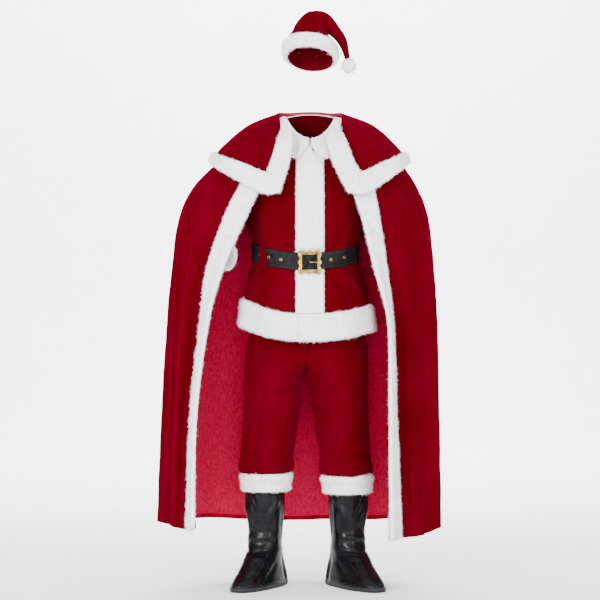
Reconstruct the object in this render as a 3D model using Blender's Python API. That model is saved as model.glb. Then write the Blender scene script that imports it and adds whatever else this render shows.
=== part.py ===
"""A santa suit as it is worn: hat, belted jacket, trousers, cape with shoulder cape, and boot covers.

Every piece of cloth is a thin closed wall on a smooth surface P(u, v). Heights in the tables are above the
floor; the parent empty then moves the whole suit down so that the origin is at the wearer's neck.
+X is the viewer's right, +Y points away from the viewer, +Z is up. Lengths are in metres, u in turns or
in parts of a section, and v in rows of the piece's own table.
"""

import math

import bmesh
import bpy
from mathutils import Matrix, Vector

NECK_HEIGHT = 1.500

SEAM = 0.0003
CLOTH = 0.0020
VINYL = 0.0015
FUR = 0.012
FUR_EDGE = 0.006
LAYER_GAP = 0.0008

BAND_LEFT_X = -0.047
OPENING_X = -0.037
BAND_MIDDLE_X = -0.002
BAND_RIGHT_X = 0.042
FUR_THIN = 0.004
BELT_THICKNESS = 0.003

SECTION_POWER = 2.3

JACKET_COLUMNS = (
    "height", "half_width", "centre_x", "front", "back", "lift_left", "lift_right", "lift_back",
)
JACKET_ROWS = (
    (1.442, 0.078, 0.000, 0.074, 0.066, 0.075, 0.075, 0.090),
    (1.412, 0.126, -0.001, 0.100, 0.086, 0.086, 0.084, 0.096),
    (1.368, 0.190, -0.002, 0.128, 0.110, 0.092, 0.090, 0.086),
    (1.318, 0.208, -0.004, 0.146, 0.122, 0.084, 0.082, 0.076),
    (1.262, 0.208, -0.007, 0.154, 0.126, 0.070, 0.068, 0.064),
    (1.202, 0.203, -0.011, 0.156, 0.125, 0.052, 0.050, 0.052),
    (1.138, 0.190, -0.015, 0.152, 0.120, 0.042, 0.038, 0.040),
    (1.078, 0.174, -0.016, 0.138, 0.114, 0.032, 0.028, 0.030),
    (1.020, 0.173, -0.016, 0.138, 0.115, 0.032, 0.028, 0.030),
    (0.958, 0.189, -0.014, 0.149, 0.126, 0.042, 0.030, 0.034),
    (0.881, 0.202, -0.012, 0.158, 0.138, 0.050, 0.030, 0.034),
    (0.794, 0.212, -0.011, 0.165, 0.148, 0.047, 0.032, 0.030),
)
SHOULDER_ROW = 2.0
UNDERARM_ROW = 5.2
BELT_TOP_ROW = 7
BELT_BOTTOM_ROW = 8
HEM_BAND_ROW = 10
HEM_ROW = 11
ARMHOLE_FRONT = 0.062
ARMHOLE_BACK = 0.055

# Folds: turn, half width, depth, first row, last row.
JACKET_FOLDS = (
    (0.075, 0.018, 0.007, 8.0, 11.4),
    (0.135, 0.020, -0.006, 8.2, 11.4),
    (0.190, 0.018, 0.006, 8.0, 11.4),
    (0.810, 0.020, 0.007, 8.0, 11.4),
    (0.868, 0.018, -0.006, 8.2, 11.4),
    (0.922, 0.018, 0.007, 8.0, 11.4),
    (0.330, 0.024, 0.007, 8.0, 11.4),
    (0.430, 0.022, -0.006, 8.0, 11.4),
    (0.540, 0.024, 0.007, 8.0, 11.4),
    (0.660, 0.022, -0.006, 8.0, 11.4),
    (0.110, 0.022, 0.005, 5.0, 7.3),
    (0.895, 0.022, 0.005, 5.0, 7.3),
    (0.400, 0.026, 0.006, 4.5, 7.3),
    (0.600, 0.026, 0.006, 4.5, 7.3),
)

# Sleeve centres: x on the left, x on the right, y, z, radius.
SLEEVE_ROWS = (
    (-0.230, 0.221, -0.004, 1.334, 0.065),
    (-0.270, 0.256, 0.012, 1.284, 0.060),
    (-0.300, 0.282, 0.030, 1.222, 0.060),
    (-0.336, 0.305, 0.036, 1.160, 0.058),
    (-0.346, 0.306, 0.018, 1.112, 0.056),
    (-0.328, 0.284, -0.014, 1.084, 0.052),
    (-0.296, 0.252, -0.040, 1.070, 0.047),
    (-0.262, 0.222, -0.064, 1.062, 0.043),
)
SLEEVE_HEAD_OUT = 0.030
SLEEVE_SAMPLES = (0.0, 0.9, 1.8, 2.6, 3.3, 4.0, 4.8, 5.6, 6.3, 7.0)
SLEEVE_CUFF_ROW = 5.6

LEG_COLUMNS = ("height", "centre", "half_width", "front", "back", "closed")
LEG_ROWS = (
    (1.070, 0.000, 0.158, 0.112, 0.096, 0.00),
    (0.960, 0.000, 0.172, 0.124, 0.112, 0.00),
    (0.860, 0.000, 0.182, 0.132, 0.124, 0.05),
    (0.760, 0.045, 0.150, 0.130, 0.126, 0.45),
    (0.672, 0.100, 0.098, 0.118, 0.118, 1.00),
    (0.590, 0.105, 0.092, 0.112, 0.112, 1.00),
    (0.500, 0.114, 0.087, 0.104, 0.106, 1.00),
    (0.430, 0.121, 0.084, 0.098, 0.100, 1.00),
    (0.385, 0.126, 0.082, 0.096, 0.098, 1.00),
    (0.358, 0.128, 0.074, 0.086, 0.088, 1.00),
    (0.330, 0.129, 0.066, 0.074, 0.076, 1.00),
    (0.300, 0.129, 0.066, 0.073, 0.075, 1.00),
)
TROUSER_CENTRE_X = -0.010
LEFT_LEG_OUT = 0.006
LEG_LEFT_FOLDS = (
    (0.20, 0.050, 0.006, 2.5, 8.8),
    (0.34, 0.040, -0.006, 3.0, 8.8),
    (0.46, 0.045, 0.007, 2.0, 9.0),
    (0.62, 0.050, -0.006, 3.0, 9.0),
    (0.78, 0.050, 0.007, 3.0, 9.0),
)
LEG_RIGHT_FOLDS = (
    (0.17, 0.045, -0.005, 2.5, 8.8),
    (0.29, 0.045, 0.007, 3.0, 8.8),
    (0.43, 0.050, -0.006, 2.0, 9.0),
    (0.58, 0.050, 0.006, 3.0, 9.0),
    (0.75, 0.050, -0.006, 3.0, 9.0),
)
WAISTBAND_HEIGHT = 0.040
LEG_SAMPLES = (0.0, 1.0, 2.0, 2.6, 3.2, 3.7, 4.3, 5.0, 6.0, 7.0, 7.6, 8.3, 9.0, 9.7, 10.35, 11.0)
LEG_POINTS = 21
LEG_CUFF_ROW = 9.0
HIP_POWER = 0.9
LEG_POWER = 0.92
LEG_CUFF_FUR = 0.013
INSEAM_GAP = 0.0004
LEFT_LEG_UP = 0.008

BOOT_COLUMNS = ("height", "heel", "toe", "half_width")
BOOT_ROWS = (
    (0.345, 0.060, 0.060, 0.060),
    (0.290, 0.060, 0.060, 0.060),
    (0.240, 0.060, 0.058, 0.056),
    (0.180, 0.056, 0.054, 0.051),
    (0.130, 0.058, 0.064, 0.051),
    (0.094, 0.062, 0.100, 0.052),
    (0.064, 0.070, 0.150, 0.055),
    (0.038, 0.076, 0.192, 0.059),
    (0.016, 0.080, 0.214, 0.062),
    (0.000, 0.080, 0.214, 0.060),
)
BOOT_TOE_TAPER = 0.14
BOOT_POWER = 0.72
BOOT_LEFT = (-0.146, 0.002, -22.0)
BOOT_RIGHT = (0.120, 0.002, 25.0)

# Hat rings: x, z, tilt, pitch, half width, half depth.
HAT_ROWS = (
    (0.000, 1.711, 5.0, 19.0, 0.076, 0.092),
    (0.000, 1.757, 6.0, 18.0, 0.076, 0.092),
    (0.003, 1.797, 15.0, 12.0, 0.060, 0.082),
    (0.020, 1.826, 46.0, 6.0, 0.046, 0.062),
    (0.052, 1.827, 84.0, 3.0, 0.032, 0.044),
    (0.080, 1.801, 122.0, 0.0, 0.021, 0.032),
    (0.103, 1.770, 154.0, 0.0, 0.016, 0.023),
    (0.114, 1.738, 166.0, 0.0, 0.011, 0.016),
    (0.120, 1.712, 170.0, 0.0, 0.009, 0.010),
)
HAT_CENTRE_Y = 0.015
HAT_SAMPLES = (0.0, 0.5, 1.0, 1.5, 2.0, 2.6, 3.2, 3.8, 4.4, 5.0, 5.7, 6.4, 7.2, 8.0)
HAT_POINTS = 20
POMPOM_RADIUS = 0.024

CAPE_BAND_U = 0.1
CAPE_BAND_ROW = 2.5
NET_TURN = (0.76, 0.30, 0.66)
NET_REAR = (0.70, 0.80)
CAPE_SAMPLES = (0.0, 0.5, 1.0, 1.5, 2.0, 2.5, 3.0, 3.5, 4.0, 4.6, 5.3, 6.0, 6.7, 7.4, 8.0)
CAPE_POINTS = 41
CAPE_COLUMNS = (
    "left_edge_x", "left_join_x", "left_side_x", "right_side_x", "right_join_x", "right_edge_x",
    "edge_y", "join_y", "side_y", "back_y", "front_z", "side_z", "back_z",
)
CAPE_ROWS = (
    (-0.062, -0.094, -0.102, 0.102, 0.094, 0.062, -0.106, -0.078, 0.004, 0.096, 1.472, 1.532, 1.544),
    (-0.088, -0.140, -0.192, 0.188, 0.142, 0.090, -0.120, -0.098, 0.008, 0.122, 1.416, 1.480, 1.494),
    (-0.124, -0.188, -0.285, 0.278, 0.180, 0.112, -0.150, -0.130, 0.010, 0.146, 1.346, 1.388, 1.412),
    (-0.160, -0.230, -0.376, 0.346, 0.200, 0.130, -0.158, -0.142, 0.012, 0.164, 1.280, 1.292, 1.318),
    (-0.206, -0.278, -0.420, 0.381, 0.219, 0.162, -0.170, -0.146, 0.022, 0.182, 1.180, 1.176, 1.180),
    (-0.276, -0.330, -0.434, 0.392, 0.242, 0.200, -0.182, -0.130, 0.018, 0.196, 1.020, 1.020, 1.020),
    (-0.322, -0.350, -0.446, 0.399, 0.260, 0.242, -0.184, -0.116, 0.014, 0.210, 0.850, 0.850, 0.850),
    (-0.360, -0.379, -0.460, 0.402, 0.272, 0.246, -0.188, -0.116, 0.006, 0.224, 0.550, 0.550, 0.550),
    (-0.366, -0.392, -0.472, 0.406, 0.287, 0.248, -0.198, -0.128, 0.000, 0.236, 0.192, 0.208, 0.187),
)
CAPE_RIGHT_HEM_DROP = 0.026
CAPE_LEFT_EDGE_LIFT = 0.012
CAPE_FOLDS = (
    (0.165, 0.012, 0.009, 3.5, 8.4),
    (0.220, 0.014, -0.011, 4.0, 8.4),
    (0.285, 0.018, 0.020, 3.0, 8.4),
    (0.342, 0.018, -0.018, 3.6, 8.4),
    (0.400, 0.020, 0.025, 3.0, 8.4),
    (0.460, 0.018, -0.020, 3.8, 8.4),
    (0.515, 0.019, 0.022, 2.8, 8.4),
    (0.572, 0.018, -0.021, 3.6, 8.4),
    (0.632, 0.020, 0.024, 3.2, 8.4),
    (0.692, 0.018, -0.018, 3.8, 8.4),
    (0.748, 0.017, 0.017, 3.2, 8.4),
    (0.802, 0.014, -0.011, 4.0, 8.4),
    (0.852, 0.014, 0.010, 4.5, 8.4),
)

CAPELET_ROWS = (
    (-0.062, -0.094, -0.102, 0.102, 0.094, 0.062, -0.106, -0.078, 0.004, 0.096, 1.472, 1.532, 1.544),
    (-0.056, -0.106, -0.198, 0.196, 0.112, 0.050, -0.152, -0.136, 0.006, 0.136, 1.430, 1.494, 1.506),
    (-0.066, -0.126, -0.278, 0.270, 0.138, 0.068, -0.180, -0.166, 0.004, 0.164, 1.360, 1.430, 1.440),
    (-0.080, -0.144, -0.306, 0.298, 0.164, 0.090, -0.194, -0.186, 0.004, 0.188, 1.316, 1.394, 1.352),
    (-0.097, -0.158, -0.314, 0.306, 0.180, 0.117, -0.200, -0.194, 0.004, 0.200, 1.264, 1.368, 1.278),
)
CAPELET_TRIM_ROW = 2.75
CAPELET_SAMPLES = (0.0, 0.4, 0.8, 1.2, 1.6, 2.0, 2.4, CAPELET_TRIM_ROW, 3.4, 4.0)
CAPELET_POINTS = 27
CAPELET_FOLDS = (
    (0.160, 0.022, 0.006, 0.8, 4.4),
    (0.240, 0.024, -0.005, 1.0, 4.4),
    (0.370, 0.030, 0.006, 0.8, 4.4),
    (0.500, 0.030, -0.005, 0.8, 4.4),
    (0.620, 0.030, 0.006, 0.8, 4.4),
    (0.760, 0.024, -0.005, 1.0, 4.4),
    (0.845, 0.022, 0.006, 0.8, 4.4),
)

BUCKLE_CENTRE = (-0.003, 1.046)
BUCKLE_HALF = 0.036
BUCKLE_OPENING = 0.0245
BUCKLE_WAVE = 0.0026
BUCKLE_DEPTH = 0.004
BUCKLE_SIDE_POINTS = 10
PRONG_LENGTH = 0.026
PRONG_RADIUS = 0.0022


def spline(values, place):
    """The Catmull-Rom curve through numbers or vectors, at a place counted in values."""
    last = len(values) - 1
    start = min(max(int(math.floor(place)), 0), last - 1)
    t = place - start
    b, c = values[start], values[start + 1]
    a = values[start - 1] if start > 0 else b * 2 - c
    d = values[start + 2] if start + 2 <= last else c * 2 - b
    return (b * 2 + (c - a) * t + (a * 2 - b * 5 + c * 4 - d) * t**2 + (b * 3 - a - c * 3 + d) * t**3) * 0.5


def row_at(table, columns, place):
    """A table's columns by name, read smoothly between its rows."""
    return {name: spline([row[k] for row in table], place) for k, name in enumerate(columns)}


def swell(folds, turn, row):
    """How far folds push the cloth out at a turn, which counts round, and a row."""
    total = 0.0
    for centre, half_width, depth, first, last in folds:
        if first < row < last:
            reach = math.sin(math.pi * min((row - first) / (last - first) * 0.5 + 0.02, 0.5))
            away = abs((turn - centre + 0.5) % 1.0 - 0.5) / half_width
            total += depth * reach * math.exp(-away * away)
    return total


def power(value, exponent):
    return math.copysign(abs(value) ** exponent, value)


def normal_at(surface, u, v, step=0.002):
    """The outward unit normal of a surface whose u runs leftwards to rightwards round the back."""
    across = surface(u + step, v) - surface(u - step, v)
    down = surface(u, v + step) - surface(u, v - step)
    return across.cross(down).normalized()


def with_folds(base, folds, sign=1):
    """The same surface with its folds pushed along the base's normal."""
    def surface(u, v):
        point = base(u, v)
        out = swell(folds, u, v)
        if out:
            point = point + normal_at(base, u, v) * out * sign
        return point
    return surface


def torso(u, v):
    row = row_at(JACKET_ROWS, JACKET_COLUMNS, v)
    sine, cosine = math.sin(2 * math.pi * u), math.cos(2 * math.pi * u)
    x = row["centre_x"] - row["half_width"] * power(sine, 2 / SECTION_POWER)
    y = -row["front" if cosine > 0 else "back"] * power(cosine, 2 / SECTION_POWER)
    lift = max(-sine, 0) ** 2 * row["lift_right"] + max(sine, 0) ** 2 * row["lift_left"]
    lift += max(-cosine, 0) ** 2 * row["lift_back"]
    return Vector((x, y, row["height"] + lift))


jacket = with_folds(torso, tuple((1 - turn, *rest) for turn, *rest in JACKET_FOLDS))


def turn_at_x(v, x):
    """The turn at which the front of the jacket has a given x; it grows towards the viewer's left."""
    row = row_at(JACKET_ROWS, JACKET_COLUMNS, v)
    ratio = (row["centre_x"] - x) / row["half_width"]
    return math.asin(power(ratio, SECTION_POWER / 2)) / (2 * math.pi)


def net(rows):
    """Control points of a cape from its table, from the left edge round the back to the right edge."""
    points = []
    for values in rows:
        row = dict(zip(CAPE_COLUMNS, values))
        line = []
        for side in ("left", "right"):
            edge_x, join_x, side_x = (row[f"{side}_{part}_x"] for part in ("edge", "join", "side"))
            turn_x = join_x + NET_TURN[0] * (side_x - join_x)
            turn_y = row["join_y"] + NET_TURN[1] * (row["side_y"] - row["join_y"])
            turn_z = row["front_z"] + NET_TURN[2] * (row["side_z"] - row["front_z"])
            rear_y = row["side_y"] + NET_REAR[1] * (row["back_y"] - row["side_y"])
            rear_z = 0.5 * (row["side_z"] + row["back_z"])
            half = [
                Vector((edge_x, row["edge_y"], row["front_z"])),
                Vector((join_x, row["join_y"], row["front_z"])),
                Vector((turn_x, turn_y, turn_z)),
                Vector((side_x, row["side_y"], row["side_z"])),
                Vector((side_x * NET_REAR[0], rear_y, rear_z)),
            ]
            line += half if side == "left" else [Vector((0, row["back_y"], row["back_z"])), *reversed(half)]
        points.append(line)
    return points


def net_surface(points):
    def surface(u, v):
        place = u * (len(points[0]) - 1)
        return spline([spline(line, place) for line in points], v)
    return surface


cape_net = net(CAPE_ROWS)
for point in cape_net[-1][8:]:
    point.z -= CAPE_RIGHT_HEM_DROP
cape_net[-1][0].z += CAPE_LEFT_EDGE_LIFT
cape = with_folds(net_surface(cape_net), CAPE_FOLDS)
capelet = with_folds(net_surface(net(CAPELET_ROWS)), CAPELET_FOLDS)


def leg(side, folds):
    """A trouser leg: half the hips above the crotch, and a whole tube with its inseam below it."""
    out = LEFT_LEG_OUT if side < 0 else 0.0

    def base(u, v):
        row = row_at(LEG_ROWS, LEG_COLUMNS, v)
        w = min(max(row["closed"], 0.0), 1.0)
        hip_sine, hip_cosine = math.sin(math.pi * u), math.cos(math.pi * u)
        hip_y = -(row["front"] if hip_cosine > 0 else row["back"]) * power(hip_cosine, HIP_POWER)
        sine, cosine = math.sin(2 * math.pi * u), math.cos(2 * math.pi * u)
        leg_y = -(row["front"] if sine > 0 else row["back"]) * power(sine, LEG_POWER)
        leg_x = row["centre"] - row["half_width"] * cosine
        hip_x = (row["centre"] + row["half_width"]) * power(hip_sine, HIP_POWER)
        x = max(hip_x * (1 - w) + leg_x * w, 0.0)
        y = hip_y * (1 - w) + leg_y * w
        height = row["height"] + (LEFT_LEG_UP * w if side < 0 else 0.0)
        return Vector((TROUSER_CENTRE_X + side * (x + SEAM + out * w), y, height))
    return with_folds(base, folds, -side)


def tube(rows):
    """A surface round a line of centres, each with its two half axes."""
    def surface(u, v):
        centre = spline([row[0] for row in rows], v)
        wide = spline([row[1] for row in rows], v)
        deep = spline([row[2] for row in rows], v)
        angle = 2 * math.pi * u
        return centre + wide * math.cos(angle) + deep * math.sin(angle)
    return surface


def hat_rows():
    rows = []
    for x, z, tilt, pitch, half_width, half_depth in HAT_ROWS:
        angle, back = math.radians(tilt), math.radians(pitch)
        wide = Vector((math.cos(angle), 0, -math.sin(angle))) * half_width
        deep = Vector((0, math.cos(back), -math.sin(back))) * half_depth
        rows.append((Vector((x, HAT_CENTRE_Y, z)), wide, deep))
    return rows


def boot_surface(place):
    x, y, toe_out = place
    turn = Matrix.Rotation(math.radians(toe_out), 3, "Z")

    def surface(u, v):
        row = row_at(BOOT_ROWS, BOOT_COLUMNS, v)
        angle = 2 * math.pi * u
        along = math.sin(angle)
        forward = -row["toe"] * along if along > 0 else -row["heel"] * along
        taper = 1 - BOOT_TOE_TAPER * max(along, 0) ** 4
        local = Vector((row["half_width"] * power(math.cos(angle), BOOT_POWER) * taper, forward, 0))
        return turn @ local + Vector((x, y, row["height"]))
    return surface


def material(name, colour, roughness, metallic=0.0):
    made = bpy.data.materials.new(name)
    made.use_nodes = True
    shader = made.node_tree.nodes["Principled BSDF"]
    shader.inputs["Base Color"].default_value = (*colour, 1)
    shader.inputs["Roughness"].default_value = roughness
    shader.inputs["Metallic"].default_value = metallic
    return made


def add_mesh(name, points, faces, finish):
    mesh = bpy.data.meshes.new(name)
    mesh.from_pydata([tuple(point) for point in points], [], faces)
    bm = bmesh.new()
    bm.from_mesh(mesh)
    bmesh.ops.recalc_face_normals(bm, faces=bm.faces)
    bm.to_mesh(mesh)
    bm.free()
    mesh.shade_smooth()
    mesh.materials.append(finish)
    item = bpy.data.objects.new(name, mesh)
    item.parent = suit
    bpy.context.collection.objects.link(item)
    return item


def wall_between(name, outer, inner, finish, ring=False):
    """A closed wall between two equal grids of points; a ring's columns meet round it."""
    rows, columns = len(outer), len(outer[0])
    size = rows * columns
    points = [point for line in outer for point in line] + [point for line in inner for point in line]
    faces = []
    for r in range(rows - 1):
        for c in range(columns if ring else columns - 1):
            a, b = r * columns + c, r * columns + (c + 1) % columns
            d, e = a + columns, b + columns
            faces += [(a, b, e), (a, e, d), (size + a, size + e, size + b), (size + a, size + d, size + e)]
    for r in (0, rows - 1):
        for c in range(columns if ring else columns - 1):
            a, b = r * columns + c, r * columns + (c + 1) % columns
            faces += [(a, size + a, size + b), (a, size + b, b)]
    if not ring:
        for r in range(rows - 1):
            for c in (0, columns - 1):
                a, d = r * columns + c, (r + 1) * columns + c
                faces += [(a, d, size + d), (a, size + d, size + a)]
    return add_mesh(name, points, faces, finish)


def wall(name, surface, lines, low, high, finish, ring=False, sign=1):
    """A wall on a surface. lines holds, for each row, the (u, v) of its points; low and high are the
    distances of its two faces from the surface, as numbers or by row and column. Every wall runs the same
    way round, so that walls which lie on each other have matching triangles."""
    outer, inner = [], []
    for r, line in enumerate(lines):
        outer.append([])
        inner.append([])
        for c, (u, v) in enumerate(line):
            point, normal = surface(u, v), normal_at(surface, u, v) * sign
            outer[-1].append(point + normal * (high(r, c) if callable(high) else high))
            inner[-1].append(point + normal * (low(r, c) if callable(low) else low))
        if line[0][0] > line[-1][0]:
            outer[-1].reverse()
            inner[-1].reverse()
    return wall_between(name, outer, inner, finish, ring)


def pile(rows, columns, ring=False, full=FUR):
    """The height of a fur band: low along its edges and full between them."""
    def high(r, c):
        edge = r in (0, rows - 1) or (not ring and c in (0, columns - 1))
        return SEAM + (FUR_EDGE if edge else full)
    return high


def spread(first, last, count):
    return [first + (last - first) * k / (count - 1) for k in range(count)]


def mix(first, last, share):
    return first + (last - first) * share


def armhole(v):
    """How far the armhole cuts back from the side line at a row, as a share of its full reach."""
    share = (v - SHOULDER_ROW) / (UNDERARM_ROW - SHOULDER_ROW)
    return math.sin(math.pi * share) ** 0.55 if 0 < share < 1 else 0.0


JACKET_SAMPLES = (
    0.0, 0.5, 1.0, 1.5, 2.0, 2.35, 3.0, 3.8, 4.6, 5.2, 6.0, 6.6, 6.85, 7.0, 8.0, 8.15, 8.8, 9.4, 10.0, 10.5, 11.0,
)
SIDE_SHARES = (0.14, 0.28, 0.42, 0.52, 0.62, 0.75, 0.88, 1.0)
BACK_POINTS = 17
LOOP_SHARES = SIDE_SHARES[2:4]
LOOP_ROWS = (6.85, 7.0, 8.0, 8.15)
LOOP_THICKNESS = 0.0015
SIDE_GAP = 0.00013
STRAP_EASE = (1.0, 0.62, 0.28)

COLLAR_FRONT_ROWS = (1.95, 1.80, 1.50, 1.25, 1.10, 1.00, 0.92, 0.86, 0.82)
COLLAR_BACK_ROW = 0.80
COLLAR_TIP_ROW = 0.90
COLLAR_INNER_ROW = 1.78
COLLAR_MIDDLE_X = (-0.005, 0.001)
COLLAR_RISE = (0.0086, 0.0030)
COLLAR_FUR = (0.008, 0.0035)
COLLAR_SHARES = (0.0, 0.4, 0.75, 1.0)
COLLAR_TOP_GAP = 0.0014


def side_turn(v, back=False):
    """The turn of the side seam or armhole edge on the viewer's left; the right one mirrors it."""
    if back:
        return 0.25 + SIDE_GAP + ARMHOLE_BACK * armhole(v)
    return 0.25 - SIDE_GAP - ARMHOLE_FRONT * armhole(v)


def side_turns(v, side):
    """The columns of one front at a row, from the fur band's edge out to the side."""
    near = turn_at_x(v, BAND_LEFT_X if side < 0 else BAND_RIGHT_X)
    return [near] + [mix(near, -side * side_turn(v), share) for share in SIDE_SHARES]


def back_turns(v):
    edge = side_turn(v, back=True)
    return spread(edge, 1 - edge, BACK_POINTS)


def rows_between(samples, first, last):
    return [v for v in samples if first <= v <= last]


def jacket_panels(velour):
    left, right, back = [], [], []
    for v in JACKET_SAMPLES:
        left.append([(turn_at_x(v, OPENING_X - SEAM), v)] + [(u, v) for u in side_turns(v, -1)])
        near = [(turn_at_x(v, x), v) for x in (OPENING_X, BAND_MIDDLE_X)]
        right.append(near + [(u, v) for u in side_turns(v, 1)])
        back.append([(u, v) for u in back_turns(v)])
    wall("jacket_front_left", jacket, left, -CLOTH, 0.0, velour)
    wall("jacket_front_right", jacket, right, -CLOTH, 0.0, velour)
    wall("jacket_back", jacket, back, -CLOTH, 0.0, velour)


def centre_band(fur):
    """The fur band down the opening, thin under the collar and pressed flat under the belt."""
    rows = rows_between(JACKET_SAMPLES, 0.5, HEM_BAND_ROW)
    rows[-1] -= 2 * SEAM / (JACKET_ROWS[-2][0] - JACKET_ROWS[-1][0])
    lines = []
    for v in rows:
        lines.append([(turn_at_x(v, x), v) for x in (BAND_LEFT_X, OPENING_X, BAND_MIDDLE_X, BAND_RIGHT_X)])

    def high(r, c):
        pressed = rows[r] <= SHOULDER_ROW or LOOP_ROWS[0] <= rows[r] <= LOOP_ROWS[-1]
        if pressed:
            return SEAM + FUR_THIN
        return pile(len(rows), 4)(r, c)
    wall("jacket_centre_band", jacket, lines, SEAM, high, fur)


def around(v, with_opening):
    """The turns round the whole jacket at a row, from the front leftwards and back to the front."""
    left, right = side_turns(v, -1), side_turns(v, 1)
    turns = left[:-1] + back_turns(v) + [1 + u for u in reversed(right[:-1])]
    if with_opening:
        return ([turn_at_x(v, OPENING_X - SEAM)] + turns
                + [1 + turn_at_x(v, BAND_MIDDLE_X), 1 + turn_at_x(v, OPENING_X)])
    return turns


def hem_band(fur):
    rows = rows_between(JACKET_SAMPLES, HEM_BAND_ROW, HEM_ROW)
    lines = [[(u, v) for u in around(v, True)] for v in rows]
    wall("jacket_hem_band", jacket, lines, SEAM, pile(len(rows), len(lines[0])), fur)


def strap_rise(r, c, columns):
    """How far the strap's inner face stands off the jacket: over the fur band in front, on the cloth elsewhere."""
    v = (BELT_TOP_ROW, BELT_BOTTOM_ROW)[r]
    middle = jacket(turn_at_x(v, BAND_MIDDLE_X), v).y
    edge = max(jacket(turn_at_x(v, x), v).y for x in (BAND_LEFT_X, BAND_RIGHT_X))
    away = min(c, columns - 1 - c)
    ease = STRAP_EASE[away] if away < len(STRAP_EASE) else 0.0
    return SEAM + ease * (edge - middle + FUR_THIN + 2 * SEAM)


def belt(leather, brass):
    lines = [[(u, v) for u in around(v, False)] for v in (BELT_TOP_ROW, BELT_BOTTOM_ROW)]
    columns = len(lines[0])

    def low(r, c):
        return strap_rise(r, c, columns)

    def high(r, c):
        return strap_rise(r, c, columns) + BELT_THICKNESS
    wall("belt_strap", jacket, lines, low, high, leather, ring=True)
    front_y = 0.0
    for r, line in enumerate(lines):
        for c in (0, columns - 1):
            u, v = line[c]
            point = jacket(u, v) + normal_at(jacket, u, v) * high(r, c)
            front_y = min(front_y, point.y)
    buckle(front_y - SEAM, brass)


def buckle(back_y, brass):
    """A square cast frame with a wavy edge, and a prong on its right bar."""
    outer, inner = [], []
    for side in range(4):
        turn = Matrix.Rotation(side * math.pi / 2, 2)
        for k in range(BUCKLE_SIDE_POINTS):
            s = -1 + 2 * k / BUCKLE_SIDE_POINTS
            reach = BUCKLE_HALF + BUCKLE_WAVE * (math.cos(3 * math.pi * s) + 1.2 * s**8)
            outer.append(turn @ Vector((s * reach, reach)))
            inner.append(turn @ Vector((s * BUCKLE_OPENING, BUCKLE_OPENING)))

    def loop(flat, y):
        return [Vector((BUCKLE_CENTRE[0] + p.x, y, BUCKLE_CENTRE[1] + p.y)) for p in flat]
    front_y = back_y - BUCKLE_DEPTH
    wall_between("belt_buckle", [loop(outer, back_y), loop(outer, front_y)],
                 [loop(inner, back_y), loop(inner, front_y)], brass, ring=True)
    bpy.ops.mesh.primitive_cone_add(
        vertices=8, radius1=PRONG_RADIUS, radius2=0.6 * PRONG_RADIUS, depth=PRONG_LENGTH,
        rotation=(0, -math.pi / 2, 0),
        location=(BUCKLE_CENTRE[0] + BUCKLE_OPENING - SEAM - PRONG_LENGTH / 2,
                  back_y - PRONG_RADIUS, BUCKLE_CENTRE[1]),
    )
    finish_object("belt_prong", brass)


def finish_object(name, finish):
    item = bpy.context.active_object
    item.name = name
    item.data.shade_smooth()
    item.data.materials.append(finish)
    item.parent = suit
    return item


def belt_loops(velour):
    lift = 2 * SEAM + BELT_THICKNESS
    for name, side in (("belt_loop_left", -1), ("belt_loop_right", 1)):
        lines = []
        for v in LOOP_ROWS:
            near = side_turns(v, side)[0]
            lines.append([(mix(near, -side * side_turn(v), share), v) for share in LOOP_SHARES])

        def low(r, c):
            return lift if r in (1, 2) else SEAM

        def high(r, c):
            return low(r, c) + LOOP_THICKNESS
        wall(name, jacket, lines, low, high, velour)


def collar(fur):
    """Two rounded fur halves on the jacket's neck, full at the tips and thin under the cape."""
    for name, side, middle_x in (("collar_left", -1, COLLAR_MIDDLE_X[0]), ("collar_right", 1, COLLAR_MIDDLE_X[1])):
        columns = [(COLLAR_TIP_ROW, lambda v, x=middle_x: turn_at_x(v, x))]
        if side < 0:
            columns.append((COLLAR_INNER_ROW, lambda v: turn_at_x(v, OPENING_X)))
        for k, last in enumerate(COLLAR_FRONT_ROWS):
            columns.append((last, lambda v, k=k: side_turns(v, side)[k]))
        for k in range(2, BACK_POINTS // 2, 2):
            columns.append((COLLAR_BACK_ROW, lambda v, k=k: -side * back_turns(v)[k]))
        columns.append((COLLAR_BACK_ROW, lambda v: -side * (0.5 - 2 * SIDE_GAP)))
        front = len(columns) - 7
        lines = [[(turn(share * last), share * last) for last, turn in columns] for share in COLLAR_SHARES]

        def fade(c, values):
            return mix(values[0], values[1], min(max((c - 1) / 3, 0), 1))

        def low(r, c):
            if r:
                return fade(c, COLLAR_RISE)
            return SEAM if 0 < c < front else COLLAR_TOP_GAP

        def high(r, c):
            full = fade(c, COLLAR_FUR)
            edge = r in (0, len(COLLAR_SHARES) - 1) or c in (0, len(columns) - 1)
            return low(r, c) + (0.6 * full if edge else full)
        wall(name, jacket, lines, low, high, fur)


def sleeve_rings(side):
    """Centres, frames and radii down the arm, and the loop of points on the armhole's edge."""
    rows = []
    for left_x, right_x, y, z, radius in SLEEVE_ROWS:
        rows.append((Vector((left_x if side < 0 else right_x, y, z)), radius))
    rings, top, flip = [], Vector((side * 0.6, 0, 0.8)), 1
    for v in SLEEVE_SAMPLES:
        centre = spline([row[0] for row in rows], v)
        along = (spline([row[0] for row in rows], v + 0.05) - spline([row[0] for row in rows], v - 0.05))
        along.normalize()
        top = (top - along * top.dot(along)).normalized()
        front = along.cross(top)
        if v == 0:
            flip = -1 if front.y > 0 else 1
        rings.append((centre, top, front * flip, spline([row[1] for row in rows], v)))
    return rings


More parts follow.
